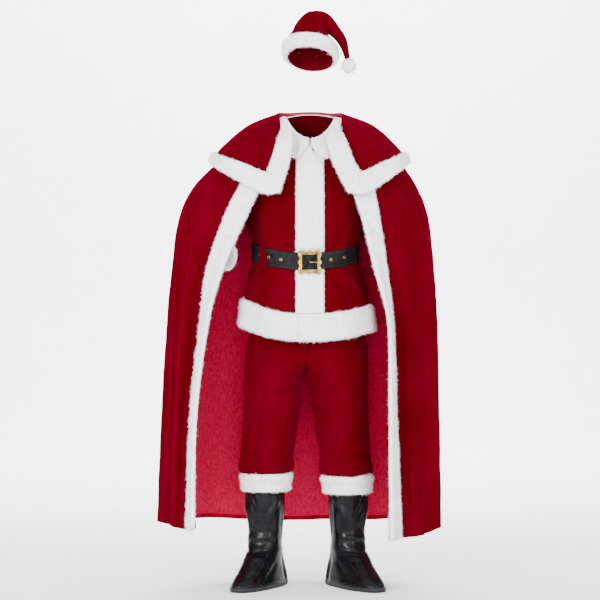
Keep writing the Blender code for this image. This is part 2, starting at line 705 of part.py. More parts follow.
def armhole_loop(side):
    rows = rows_between(JACKET_SAMPLES, SHOULDER_ROW, UNDERARM_ROW)
    places = [(side_turn(v), v) for v in rows[:-1]]
    places += [(side_turn(v, back=True), v) for v in reversed(rows[1:])]
    places = [(-side * u, v) for u, v in places]
    points = [jacket(u, v) for u, v in places]
    centre = sum(points, Vector()) / len(points)
    outer, inner = [], []
    for (u, v), point in zip(places, points):
        normal = normal_at(jacket, u, v)
        inwards = centre - point
        inwards = (inwards - normal * inwards.dot(normal)).normalized()
        outer.append(point + inwards * 2 * SEAM)
        inner.append(outer[-1] - normal * CLOTH)
    return outer, inner


def ring_points(ring, count, grow):
    centre, top, front, radius = ring
    points = []
    for k in range(count):
        angle = 2 * math.pi * k / count
        points.append(centre + (top * math.cos(angle) + front * math.sin(angle)) * (radius + grow))
    return points


def sleeve(name, cuff_name, side, velour, fur):
    outer_edge, inner_edge = armhole_loop(side)
    count = len(outer_edge)
    rings = sleeve_rings(side)
    outer, inner = [outer_edge], [inner_edge]
    head = [mix(edge + Vector((side * SLEEVE_HEAD_OUT, 0, 0)), point, 0.5)
            for edge, point in zip(outer_edge, ring_points(rings[0], count, 0))]
    outer.append(head)
    inner.append([point + (rings[0][0] - point).normalized() * CLOTH for point in head])
    for ring in rings[1:]:
        outer.append(ring_points(ring, count, 0))
        inner.append(ring_points(ring, count, -CLOTH))
    wall_between(name, outer, inner, velour, ring=True)
    first = SLEEVE_SAMPLES.index(SLEEVE_CUFF_ROW)
    cuff = rings[first:]
    high = pile(len(cuff), count, ring=True)
    wall_between(cuff_name, [ring_points(ring, count, high(r, 0)) for r, ring in enumerate(cuff)],
                 [ring_points(ring, count, SEAM) for ring in cuff], fur, ring=True)


def trousers(velour, fur):
    tops = {}
    for name, side, folds in (("left", -1, LEG_LEFT_FOLDS), ("right", 1, LEG_RIGHT_FOLDS)):
        surface = leg(side, folds)
        turns = spread(INSEAM_GAP, 1 - INSEAM_GAP, LEG_POINTS)
        lines = [[(u, v) for u in turns] for v in LEG_SAMPLES]
        wall(f"trouser_leg_{name}", surface, lines, -CLOTH, 0.0, velour, sign=-side)
        cuff = [[(u, v) for u in turns[:-1]] for v in rows_between(LEG_SAMPLES, LEG_CUFF_ROW, 11.0)]
        high = pile(len(cuff), LEG_POINTS - 1, ring=True, full=LEG_CUFF_FUR)
        wall(f"trouser_cuff_{name}", surface, cuff, SEAM, high, fur, ring=True, sign=-side)
        tops[side] = [surface(u, 0) for u in turns]
    loop = tops[-1] + list(reversed(tops[1]))
    centre = sum(loop, Vector()) / len(loop)
    low = [point + Vector((0, 0, SEAM)) for point in loop]
    high = [point + Vector((0, 0, WAISTBAND_HEIGHT)) for point in loop]
    inner = [[point + (centre - point).normalized() * CLOTH * 2 for point in line] for line in (low, high)]
    for line, z in zip(inner, (low[0].z, high[0].z)):
        for point in line:
            point.z = z
    wall_between("trouser_waistband", [low, high], inner, velour, ring=True)


def hat(velour, fur):
    surface = tube(hat_rows())
    lines = [[(k / HAT_POINTS, v) for k in range(HAT_POINTS)] for v in HAT_SAMPLES]
    wall("hat_crown", surface, lines, -CLOTH, 0.0, velour, ring=True)
    brim = lines[:3]
    wall("hat_brim", surface, brim, SEAM, pile(len(brim), HAT_POINTS, ring=True), fur, ring=True)
    end = surface(0, 8.0) + (surface(0.5, 8.0) - surface(0, 8.0)) / 2
    before = surface(0, 7.8) + (surface(0.5, 7.8) - surface(0, 7.8)) / 2
    rim = HAT_ROWS[-1][-1]
    drop = math.sqrt(POMPOM_RADIUS**2 - rim**2) + 4 * SEAM
    bpy.ops.mesh.primitive_ico_sphere_add(
        subdivisions=2, radius=POMPOM_RADIUS, location=end + (end - before).normalized() * drop,
    )
    finish_object("hat_pompom", fur)


def cape_turns(inner):
    edge = spread(0, CAPE_BAND_U, 3)
    return edge[:-1] + spread(CAPE_BAND_U, 1 - CAPE_BAND_U, inner) + [1 - u for u in reversed(edge[:-1])]


def full_cape(velour, fur):
    turns = cape_turns(CAPE_POINTS)
    lines = [[(u, v) for u in turns] for v in CAPE_SAMPLES]
    wall("cape_body", cape, lines, -CLOTH, 0.0, velour)
    band_rows = rows_between(CAPE_SAMPLES, CAPE_BAND_ROW, len(CAPE_ROWS) - 1)
    for name, band in (("cape_band_left", turns[:3]), ("cape_band_right", turns[-3:])):
        lines = [[(u, v) for u in band] for v in band_rows]
        wall(name, cape, lines, SEAM, pile(len(band_rows), 3), fur)


def shoulder_cape(velour, fur):
    turns = cape_turns(CAPELET_POINTS)
    lines = [[(u, v) for u in turns] for v in CAPELET_SAMPLES]
    wall("capelet", capelet, lines, LAYER_GAP, LAYER_GAP + CLOTH, velour)
    low = LAYER_GAP + CLOTH + SEAM
    trim = CAPELET_SAMPLES.index(CAPELET_TRIM_ROW)
    hem = lines[trim:]
    height = pile(len(hem), len(turns))
    wall("capelet_hem_band", capelet, hem, low, lambda r, c: low + height(r, c), fur)
    upper = [list(line) for line in lines[:trim + 1]]
    last = CAPELET_TRIM_ROW - 0.01
    upper[-1] = [(u, last) for u in turns]
    side_height = pile(len(upper), 3)
    for name, part in (("capelet_band_left", slice(0, 3)), ("capelet_band_right", slice(-3, None))):
        band = [line[part] for line in upper]
        wall(name, capelet, band, low, lambda r, c: low + side_height(r, c), fur)


def boots(vinyl):
    samples = (0.0, 1.0, 2.0, 3.0, 4.0, 4.6, 5.2, 6.0, 7.0, 8.0, 9.0)
    count = 20
    lines = [[(k / count, v) for k in range(count)] for v in samples]
    for name, place in (("boot_left", BOOT_LEFT), ("boot_right", BOOT_RIGHT)):
        wall(name, boot_surface(place), lines, -VINYL, 0.0, vinyl, ring=True)


def build():
    velour = material("red_velour", (0.42, 0.005, 0.02), 0.75)
    fur = material("white_fur", (0.86, 0.86, 0.87), 0.95)
    leather = material("black_belt", (0.02, 0.02, 0.022), 0.42)
    vinyl = material("black_vinyl", (0.012, 0.012, 0.013), 0.22)
    brass = material("gold_buckle", (0.80, 0.58, 0.24), 0.30, 1.0)
    jacket_panels(velour)
    centre_band(fur)
    hem_band(fur)
    belt(leather, brass)
    belt_loops(velour)
    collar(fur)
    sleeve("sleeve_left", "sleeve_cuff_left", -1, velour, fur)
    sleeve("sleeve_right", "sleeve_cuff_right", 1, velour, fur)
    trousers(velour, fur)
    hat(velour, fur)
    full_cape(velour, fur)
    shoulder_cape(velour, fur)
    boots(vinyl)


for item in list(bpy.data.objects):
    bpy.data.objects.remove(item, do_unlink=True)
suit = bpy.data.objects.new("suit", None)
suit.location = (0, 0, -NECK_HEIGHT)
bpy.context.collection.objects.link(suit)
build()
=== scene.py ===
"""The santa suit for pictures: cloth shells with creases, fur with tufts, belt, buckle and boots."""

import math

import bpy
import numpy as np
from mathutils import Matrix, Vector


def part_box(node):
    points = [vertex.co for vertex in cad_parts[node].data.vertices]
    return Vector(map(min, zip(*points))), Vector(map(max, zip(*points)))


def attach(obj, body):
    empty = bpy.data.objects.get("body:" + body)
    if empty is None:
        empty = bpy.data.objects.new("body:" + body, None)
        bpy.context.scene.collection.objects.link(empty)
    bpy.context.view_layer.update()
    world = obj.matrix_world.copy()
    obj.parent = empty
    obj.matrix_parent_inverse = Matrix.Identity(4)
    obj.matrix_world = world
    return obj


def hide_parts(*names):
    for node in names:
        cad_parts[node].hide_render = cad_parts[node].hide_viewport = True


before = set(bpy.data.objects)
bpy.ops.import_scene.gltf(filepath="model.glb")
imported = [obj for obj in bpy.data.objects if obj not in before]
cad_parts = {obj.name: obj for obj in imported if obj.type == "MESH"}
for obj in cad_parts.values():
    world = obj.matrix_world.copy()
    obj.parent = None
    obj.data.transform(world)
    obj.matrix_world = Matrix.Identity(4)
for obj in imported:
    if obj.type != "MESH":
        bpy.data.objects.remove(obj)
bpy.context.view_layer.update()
shown = {}


def thousandths(rows, whole=()):
    """Rows of a table written in thousandths, millimetres for a length; columns in whole stay as written."""
    return tuple(tuple(value if k in whole else value / 1000 for k, value in enumerate(row)) for row in rows)


# Metres from here on, where no column or comment says otherwise.
NECK_HEIGHT = 1.500

SEAM = 0.0003
CLOTH = 0.0020
VINYL = 0.0015
FUR = 0.012
FUR_EDGE = 0.006
LAYER_GAP = 0.0008
BAND_LEFT_X = -0.047
OPENING_X = -0.037
BAND_MIDDLE_X = -0.002
BAND_RIGHT_X = 0.042
FUR_THIN = 0.004
BELT_THICKNESS = 0.003

SECTION_POWER = 2.3

JACKET_COLUMNS = (
    "height", "half_width", "centre_x", "front", "back", "lift_left", "lift_right", "lift_back",
)
JACKET_ROWS = thousandths((
    (1442, 78, 0, 74, 66, 75, 75, 90), (1412, 126, -1, 100, 86, 86, 84, 96),
    (1368, 190, -2, 128, 110, 92, 90, 86), (1318, 208, -4, 146, 122, 84, 82, 76),
    (1262, 208, -7, 154, 126, 70, 68, 64), (1202, 203, -11, 156, 125, 52, 50, 52),
    (1138, 190, -15, 152, 120, 42, 38, 40), (1078, 174, -16, 138, 114, 32, 28, 30),
    (1020, 173, -16, 138, 115, 32, 28, 30), (958, 189, -14, 149, 126, 42, 30, 34),
    (881, 202, -12, 158, 138, 50, 30, 34), (794, 212, -11, 165, 148, 47, 32, 30),
))
SHOULDER_ROW = 2.0
UNDERARM_ROW = 5.2
BELT_TOP_ROW = 7
BELT_BOTTOM_ROW = 8
HEM_BAND_ROW = 10
HEM_ROW = 11
ARMHOLE_FRONT = 0.062
ARMHOLE_BACK = 0.055
# Folds: centre, half width, depth, first row, last row.
JACKET_FOLDS = thousandths((
    (75, 18, 7, 8, 11.4), (135, 20, -6, 8.2, 11.4), (190, 18, 6, 8, 11.4), (810, 20, 7, 8, 11.4),
    (868, 18, -6, 8.2, 11.4), (922, 18, 7, 8, 11.4), (330, 24, 7, 8, 11.4), (430, 22, -6, 8, 11.4),
    (540, 24, 7, 8, 11.4), (660, 22, -6, 8, 11.4), (110, 22, 5, 5, 7.3), (895, 22, 5, 5, 7.3),
    (400, 26, 6, 4.5, 7.3), (600, 26, 6, 4.5, 7.3),
), whole=(3, 4))

# Left x, right x, y, z, radius.
SLEEVE_ROWS = thousandths((
    (-230, 221, -4, 1334, 65), (-270, 256, 12, 1284, 60), (-300, 282, 30, 1222, 60),
    (-336, 305, 36, 1160, 58), (-346, 306, 18, 1112, 56), (-328, 284, -14, 1084, 52),
    (-296, 252, -40, 1070, 47), (-262, 222, -64, 1062, 43),
))
SLEEVE_HEAD_OUT = 0.030
SLEEVE_SAMPLES = (0.0, 0.9, 1.8, 2.6, 3.3, 4.0, 4.8, 5.6, 6.3, 7.0)

LEG_COLUMNS = ("height", "centre", "half_width", "front", "back", "closed")
LEG_ROWS = thousandths((
    (1070, 0, 158, 112, 96, 0), (960, 0, 172, 124, 112, 0), (860, 0, 182, 132, 124, 50),
    (760, 45, 150, 130, 126, 450), (672, 100, 98, 118, 118, 1000), (590, 105, 92, 112, 112, 1000),
    (500, 114, 87, 104, 106, 1000), (430, 121, 84, 98, 100, 1000), (385, 126, 82, 96, 98, 1000),
    (358, 128, 74, 86, 88, 1000), (330, 129, 66, 74, 76, 1000), (300, 129, 66, 73, 75, 1000),
))
TROUSER_CENTRE_X = -0.010
LEFT_LEG_OUT = 0.006
LEG_LEFT_FOLDS = thousandths((
    (200, 50, 6, 2.5, 8.8), (340, 40, -6, 3, 8.8), (460, 45, 7, 2, 9), (620, 50, -6, 3, 9),
    (780, 50, 7, 3, 9),
), whole=(3, 4))
LEG_RIGHT_FOLDS = thousandths((
    (170, 45, -5, 2.5, 8.8), (290, 45, 7, 3, 8.8), (430, 50, -6, 2, 9), (580, 50, 6, 3, 9),
    (750, 50, -6, 3, 9),
), whole=(3, 4))
WAISTBAND_HEIGHT = 0.040
LEG_CUFF_ROW = 9.0
LEG_END_ROW = 11
HIP_POWER = 0.9
LEG_POWER = 0.92
LEG_CUFF_FUR = 0.013
INSEAM_GAP = 0.0004
LEFT_LEG_UP = 0.008
LEG_BLOUSE = 0.0085
LEG_BLOUSE_ROW = 8.2

BOOT_COLUMNS = ("height", "heel", "toe", "half_width")
BOOT_ROWS = thousandths((
    (345, 60, 60, 60), (290, 60, 60, 60), (240, 60, 58, 56), (180, 56, 54, 51), (130, 58, 64, 51),
    (94, 62, 100, 52), (64, 70, 150, 55), (38, 76, 192, 59), (16, 80, 214, 62), (0, 80, 214, 60),
))
BOOT_TOE_TAPER = 0.09
TOE_POWER = 0.84
TOE_SWING = 0.007
BOOT_POWER = 0.72
BOOT_EDGE_ROW = 8.05
BOOT_LEFT = (-0.146, 0.002, -22.0)
BOOT_RIGHT = (0.120, 0.002, 25.0)

HAT_COLUMNS = ("x", "z", "tilt", "pitch", "half_width", "half_depth")
HAT_ROWS = thousandths((
    (0, 1711, 5, 19, 76, 92), (0, 1757, 6, 18, 76, 92), (3, 1797, 15, 12, 60, 82),
    (20, 1826, 46, 6, 46, 62), (52, 1827, 84, 3, 32, 44), (80, 1801, 122, 0, 21, 32),
    (103, 1770, 154, 0, 16, 23), (114, 1738, 166, 0, 11, 16), (120, 1712, 170, 0, 9, 10),
), whole=(2, 3))
HAT_CENTRE_Y = 0.015
POMPOM_RADIUS = 0.024

# The cape's net: shares of the way from its join to its side, and from its side to its back, in x, y and z.
NET_TURN = (0.76, 0.30, 0.66)
NET_REAR = (0.70, 0.80, 0.5)
CAPE_BAND_U = 0.1
CAPE_EDGES = (("left", 0.0, CAPE_BAND_U), ("right", 1 - CAPE_BAND_U, 1.0))
CAPE_BAND_ROW = 2.5
CAPE_COLUMNS = (
    "left_edge_x", "left_join_x", "left_side_x", "right_side_x", "right_join_x", "right_edge_x",
    "edge_y", "join_y", "side_y", "back_y", "front_z", "side_z", "back_z",
)
CAPE_ROWS = thousandths((
    (-62, -94, -102, 102, 94, 62, -106, -78, 4, 96, 1472, 1532, 1544),
    (-88, -140, -192, 188, 142, 90, -120, -98, 8, 122, 1416, 1480, 1494),
    (-124, -188, -285, 278, 180, 112, -150, -130, 10, 146, 1346, 1388, 1412),
    (-160, -230, -376, 346, 200, 130, -158, -142, 12, 164, 1280, 1292, 1318),
    (-206, -278, -420, 381, 219, 162, -170, -146, 22, 182, 1180, 1176, 1180),
    (-276, -330, -434, 392, 242, 200, -182, -130, 18, 196, 1020, 1020, 1020),
    (-322, -350, -446, 399, 260, 242, -184, -116, 14, 210, 850, 850, 850),
    (-360, -379, -460, 402, 272, 246, -188, -116, 6, 224, 550, 550, 550),
    (-366, -392, -472, 406, 287, 248, -198, -128, 0, 236, 192, 208, 187),
))
CAPE_RIGHT_HEM_DROP = 0.026
CAPE_LEFT_EDGE_LIFT = 0.012
CAPE_FOLDS = thousandths((
    (165, 12, 9, 3.5, 8.4), (220, 14, -11, 4, 8.4), (285, 18, 20, 3, 8.4), (342, 18, -18, 3.6, 8.4),
    (400, 20, 25, 3, 8.4), (460, 18, -20, 3.8, 8.4), (515, 19, 22, 2.8, 8.4), (572, 18, -21, 3.6, 8.4),
    (632, 20, 24, 3.2, 8.4), (692, 18, -18, 3.8, 8.4), (748, 17, 17, 3.2, 8.4), (802, 14, -11, 4, 8.4),
    (852, 14, 10, 4.5, 8.4),
), whole=(3, 4))

CAPELET_ROWS = thousandths((
    (-62, -94, -102, 102, 94, 62, -106, -78, 4, 96, 1472, 1532, 1544),
    (-56, -106, -198, 196, 112, 50, -152, -136, 6, 136, 1430, 1494, 1506),
    (-66, -126, -278, 270, 138, 68, -180, -166, 4, 164, 1360, 1430, 1440),
    (-80, -144, -306, 298, 164, 90, -194, -186, 4, 188, 1316, 1394, 1352),
    (-97, -158, -314, 306, 180, 117, -200, -194, 4, 200, 1264, 1368, 1278),
))
CAPELET_TRIM_ROW = 2.75
CAPELET_FOLDS = thousandths((
    (160, 22, 6, 0.8, 4.4), (240, 24, -5, 1, 4.4), (370, 30, 6, 0.8, 4.4), (500, 30, -5, 0.8, 4.4),
    (620, 30, 6, 0.8, 4.4), (760, 24, -5, 1, 4.4), (845, 22, 6, 0.8, 4.4),
), whole=(3, 4))

BUCKLE_CENTRE = (-0.003, 1.046)
BUCKLE_HALF = 0.036
BUCKLE_OPENING = 0.0245
BUCKLE_WAVE = 0.0026
# Share of the way from the outer edge to the opening, and share of the frame's depth.
BUCKLE_PROFILE = (
    (0.0, 0.05), (0.0, 0.45), (0.06, 0.72), (0.16, 0.82), (0.26, 0.66), (0.34, 0.60), (0.46, 0.86),
    (0.58, 1.0), (0.70, 0.90), (0.78, 0.62), (0.84, 0.60), (0.92, 0.78), (0.98, 0.60), (1.0, 0.35),
    (1.0, 0.0),
)
PRONG_RADIUS = 0.0022

# Height of the collar over the jacket and its fur, at the middle of the front and further round.
COLLAR_RISE = (0.0086, 0.0030)
COLLAR_FUR = (0.0105, 0.0045)
COLLAR_ROOT = 0.0014
COLLAR_TIP_ROW = 0.90
COLLAR_BACK_ROW = 0.80
# Lower end of the collar at shares of the way from the fur band to the side.
COLLAR_FRONT = (
    (0.0, 1.95), (0.14, 1.80), (0.28, 1.50), (0.42, 1.25), (0.52, 1.10), (0.62, 1.00), (0.75, 0.92),
    (0.88, 0.86), (1.0, 0.82),
)
BELT_WIDTH = 0.058
# How far the strap bows forward where it crosses the fur band.
BRIDGE_BOW = 0.0035
STITCH_HALF = 0.0017
STITCH_STEP = 0.0056
EYELET_RADIUS = 0.0038
EYELET_ROUND = 28
EYELET_WIRE = 8
CREASE_STEPS = 8
COARSE = 0.045
FINE = 0.018
JACKET_KNOTS = (2.0, 2.35, 3.0, 3.8, 4.6, 5.2, 4.6, 3.8, 3.0, 2.35, 2.0)
CREASE_COLUMNS = ("u0", "v0", "u1", "v1", "bow", "width", "depth")
DROP = np.array((0.0, 0.0, -NECK_HEIGHT))


def spans(count, place, ring=False):
    """The four neighbours and weights of a Catmull-Rom curve; its ends run on straight."""
    place = np.asarray(place, float)
    start = np.floor(place).astype(int)
    if not ring:
        start = np.clip(start, 0, count - 2)
    t = place - start
    w = np.array([-t + 2 * t**2 - t**3, 2 - 5 * t**2 + 3 * t**3, t + 4 * t**2 - 3 * t**3, t**3 - t**2]) / 2
    index = np.array([start - 1, start, start + 1, start + 2])
    if ring:
        return index % count, w
    first, last = start == 0, start == count - 2
    before, after = np.where(first, w[0], 0), np.where(last, w[3], 0)
    w[1] += 2 * before - after
    w[2] += 2 * after - before
    w[0] -= before
    w[3] -= after
    return np.clip(index, 0, count - 1), w


def curve(values, place):
    values = np.asarray(values, float)
    index, w = spans(len(values), place)
    if values.ndim == 1:
        return sum(w[k] * values[index[k]] for k in range(4))
    return sum(w[k][..., None] * values[index[k]] for k in range(4))


def row_at(table, columns, v):
    read = curve(table, v)
    return {name: read[..., k] for k, name in enumerate(columns)}


def power(value, exponent):
    return np.sign(value) * np.abs(value) ** exponent


def unit(vectors):
    return vectors / np.maximum(np.linalg.norm(vectors, axis=-1, keepdims=True), 1e-12)


def mix(first, second, share):
    return first * (1 - share) + second * share


def stack(x, y, z):
    return np.stack(np.broadcast_arrays(x, y, z), axis=-1).astype(float)


def normal_at(surface, u, v, step=0.002):
    across = surface(u + step, v) - surface(u - step, v)
    down = surface(u, v + step) - surface(u, v - step)
    return unit(np.cross(across, down))


def swell(folds, turn, row):
    total = np.zeros(np.shape(turn))
    for centre, half_width, depth, first, last in folds:
        share = np.clip((row - first) / (last - first) * 0.5 + 0.02, 0, 0.5)
        reach = np.where((row > first) & (row < last), np.sin(math.pi * share), 0)
        away = np.abs((turn - centre + 0.5) % 1.0 - 0.5) / half_width
        total += depth * reach * np.exp(-away * away)
    return total


def with_folds(base, folds, sign=1):
    def surface(u, v):
        return base(u, v) + normal_at(base, u, v) * (swell(folds, u, v) * sign)[..., None]
    return surface


def torso(u, v):
    row = row_at(JACKET_ROWS, JACKET_COLUMNS, v)
    sine, cosine = np.sin(2 * math.pi * u), np.cos(2 * math.pi * u)
    x = row["centre_x"] - row["half_width"] * power(sine, 2 / SECTION_POWER)
    y = -np.where(cosine > 0, row["front"], row["back"]) * power(cosine, 2 / SECTION_POWER)
    lift = np.maximum(-sine, 0) ** 2 * row["lift_right"] + np.maximum(sine, 0) ** 2 * row["lift_left"]
    lift = lift + np.maximum(-cosine, 0) ** 2 * row["lift_back"]
    return stack(x, y, row["height"] + lift)


jacket = with_folds(torso, tuple((1 - turn, *rest) for turn, *rest in JACKET_FOLDS))


def turn_at_x(v, x):
    row = row_at(JACKET_ROWS, JACKET_COLUMNS, v)
    ratio = (row["centre_x"] - x) / row["half_width"]
    return np.arcsin(power(ratio, SECTION_POWER / 2)) / (2 * math.pi)


def armhole(v):
    share = np.clip((v - SHOULDER_ROW) / (UNDERARM_ROW - SHOULDER_ROW), 0, 1)
    return np.abs(np.sin(math.pi * share)) ** 0.55


def side_turn(v, back=False):
    if back:
        return 0.25 + SIDE_GAP + ARMHOLE_BACK * armhole(v)
    return 0.25 - SIDE_GAP - ARMHOLE_FRONT * armhole(v)


def net(rows):
    points = []
    for values in rows:
        row = dict(zip(CAPE_COLUMNS, values))
        line = []
        for side in ("left", "right"):
            edge_x, join_x, side_x = (row[f"{side}_{part}_x"] for part in ("edge", "join", "side"))
            turn = (join_x + NET_TURN[0] * (side_x - join_x),
                    row["join_y"] + NET_TURN[1] * (row["side_y"] - row["join_y"]),
                    row["front_z"] + NET_TURN[2] * (row["side_z"] - row["front_z"]))
            rear = (side_x * NET_REAR[0], row["side_y"] + NET_REAR[1] * (row["back_y"] - row["side_y"]),
                    NET_REAR[2] * (row["side_z"] + row["back_z"]))
            half = [(edge_x, row["edge_y"], row["front_z"]), (join_x, row["join_y"], row["front_z"]), turn,
                    (side_x, row["side_y"], row["side_z"]), rear]
            line += half if side == "left" else [(0, row["back_y"], row["back_z"]), *reversed(half)]
        points.append(line)
    return np.array(points, float)


def net_surface(points, ring=False):
    rows, columns = points.shape[:2]

    def surface(u, v):
        i, a = spans(rows, v)
        j, b = spans(columns, u * (columns if ring else columns - 1), ring)
        total = 0
        for m in range(4):
            for n in range(4):
                total = total + (a[m] * b[n])[..., None] * points[i[m], j[n]]
        return total
    return surface


cape_net = net(CAPE_ROWS)
cape_net[-1, 8:, 2] -= CAPE_RIGHT_HEM_DROP
cape_net[-1, 0, 2] += CAPE_LEFT_EDGE_LIFT
cape = with_folds(net_surface(cape_net), CAPE_FOLDS)
capelet = with_folds(net_surface(net(CAPELET_ROWS)), CAPELET_FOLDS)


def leg(side, folds):
    out = LEFT_LEG_OUT if side < 0 else 0.0

    def base(u, v):
        row = row_at(LEG_ROWS, LEG_COLUMNS, v)
        w = np.clip(row["closed"], 0.0, 1.0)
        hip_sine, hip_cosine = np.sin(math.pi * u), np.cos(math.pi * u)
        hip_y = -np.where(hip_cosine > 0, row["front"], row["back"]) * power(hip_cosine, HIP_POWER)
        sine, cosine = np.sin(2 * math.pi * u), np.cos(2 * math.pi * u)
        leg_y = -np.where(sine > 0, row["front"], row["back"]) * power(sine, LEG_POWER)
        leg_x = row["centre"] - row["half_width"] * cosine
        hip_x = (row["centre"] + row["half_width"]) * power(hip_sine, HIP_POWER)
        x = np.maximum(hip_x * (1 - w) + leg_x * w, 0.0)
        y = hip_y * (1 - w) + leg_y * w
        height = row["height"] + (LEFT_LEG_UP * w if side < 0 else 0.0)
        return stack(TROUSER_CENTRE_X + side * (x + SEAM + out * w), y, height)
    return with_folds(base, folds, -side)


def bloused(base, sign):
    """The leg's cloth filled out just above its cuff, where the elastic gathers it."""
    def surface(u, v):
        full = LEG_BLOUSE * np.exp(-(((v - LEG_BLOUSE_ROW) / 0.5) ** 2)) * (0.75 + 0.25 * np.sin(9 * u + 2))
        return base(u, v) + normal_at(base, u, v) * (full * sign)[..., None]
    return surface


def hat(u, v):
    row = row_at(HAT_ROWS, HAT_COLUMNS, v)
    tilt, pitch = np.radians(row["tilt"]), np.radians(row["pitch"])
    angle = 2 * math.pi * u
    wide, deep = row["half_width"] * np.cos(angle), row["half_depth"] * np.sin(angle)
    return stack(row["x"] + wide * np.cos(tilt), HAT_CENTRE_Y + deep * np.cos(pitch),
                 row["z"] - wide * np.sin(tilt) - deep * np.sin(pitch))


def boot(place):
    x, y, toe_out = place
    turn = math.radians(toe_out)

    def surface(u, v):
        row = row_at(BOOT_ROWS, BOOT_COLUMNS, v)
        along = np.sin(2 * math.pi * u)
        forward = -np.where(along > 0, row["toe"] * power(along, TOE_POWER), row["heel"] * along)
        taper = 1 - BOOT_TOE_TAPER * np.maximum(along, 0) ** 4
        wide = row["half_width"] * power(np.cos(2 * math.pi * u), BOOT_POWER) * taper
        wide = wide + math.copysign(TOE_SWING, toe_out) * np.clip(-forward / row["toe"], 0, 1) ** 2
        return stack(x + wide * math.cos(turn) - forward * math.sin(turn),
                     y + wide * math.sin(turn) + forward * math.cos(turn), row["height"])
    return surface


def noise(points, size, seed):
    """Smooth value noise from -1 to 1, with lumps about size metres wide."""
    place = points / size + seed * 7.31
    cell = np.floor(place).astype(np.int64)
    f = place - cell
    f = f * f * (3 - 2 * f)
    total = np.zeros(points.shape[:-1])
    for corner in range(8):
        step = np.array([corner & 1, corner >> 1 & 1, corner >> 2 & 1])
        k = cell + step
        mixed = k[..., 0] * 73856093 ^ k[..., 1] * 19349663 ^ k[..., 2] * 83492791 ^ seed * 2654435
        mixed = mixed & 0xFFFFFFF
        mixed = (mixed * 1103515245 + 12345 ^ mixed >> 7) & 0xFFFFFFF
        mixed = (mixed * 69069 + 1 ^ mixed >> 11) & 0xFFFFFFF
        share = np.prod(np.where(step, f, 1 - f), axis=-1)
        total += share * (mixed / 0x7FFFFFF - 1)
    return total


def creased(surface, creases, sign=1, rough=0.0006, seed=1, strength=1.35):
    """The surface with ridges and troughs along lines in its own u and v, and slight unevenness."""
    def made(u, v):
        points = surface(u, v)
        total = rough * (noise(points, COARSE, seed) + 0.5 * noise(points, FINE, seed + 1))
        for values in creases:
            c = dict(zip(CREASE_COLUMNS, values))
            t = np.linspace(0, 1, CREASE_STEPS + 1)
            bend = c["bow"] * np.sin(math.pi * t)
            line = surface(c["u0"] + (c["u1"] - c["u0"]) * t + bend, c["v0"] + (c["v1"] - c["v0"]) * t)
            low, high = line.min(axis=0) - 4 * c["width"], line.max(axis=0) + 4 * c["width"]
            near = np.all((points > low) & (points < high), axis=-1)
            if not near.any():
                continue
            p = points[near]
            best, along = np.full(len(p), 9.0), np.zeros(len(p))
            for k in range(CREASE_STEPS):
                a, ab = line[k], line[k + 1] - line[k]
                s = np.clip(((p - a) @ ab) / max(ab @ ab, 1e-12), 0, 1)
                far = np.linalg.norm(p - a - s[:, None] * ab, axis=-1)
                closer = far < best
                best = np.where(closer, far, best)
                along = np.where(closer, (k + s) / CREASE_STEPS, along)
            wander = 1 + 0.25 * noise(p, 0.06, seed + 5)
            fade = np.sin(math.pi * np.clip(along * 0.94 + 0.03, 0, 1)) ** 0.8
            total[near] += c["depth"] * strength * fade * np.exp(-((best / (c["width"] * wander)) ** 2))
        return points + normal_at(surface, u, v) * (total * sign)[..., None]
    return made


def add_piece(name, points, quads, finishes, paint=None, spikes=None, extra=False):
    """A mesh object from quads and hairs that rides on the root and, unless extra, replaces its CAD node."""
    count = len(points)
    tris = np.zeros((0, 3), int)
    if spikes is not None:
        points = np.concatenate([points, spikes[0]])
        tris = spikes[1] + count
    mesh = bpy.data.meshes.new(name + "_sewn")
    mesh.vertices.add(len(points))
    mesh.vertices.foreach_set("co", (points + DROP).astype(np.float32).ravel())
    mesh.loops.add(quads.size + tris.size)
    mesh.loops.foreach_set("vertex_index", np.concatenate([quads.ravel(), tris.ravel()]).astype(np.int32))
    starts = np.concatenate([np.arange(len(quads)) * 4, quads.size + np.arange(len(tris)) * 3])
    mesh.polygons.add(len(starts))
    mesh.polygons.foreach_set("loop_start", starts.astype(np.int32))
    if paint is not None:
        painted = np.concatenate([paint, np.zeros(len(tris), int)])
        mesh.polygons.foreach_set("material_index", painted.astype(np.int32))
    mesh.update(calc_edges=True)
    mesh.shade_smooth()
    for finish in finishes:
        mesh.materials.append(finish)
    item = bpy.data.objects.new(name + "_sewn", mesh)
    bpy.context.collection.objects.link(item)
    shown[name] = item
    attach(item, "root")
    if not extra:
        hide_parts(name)


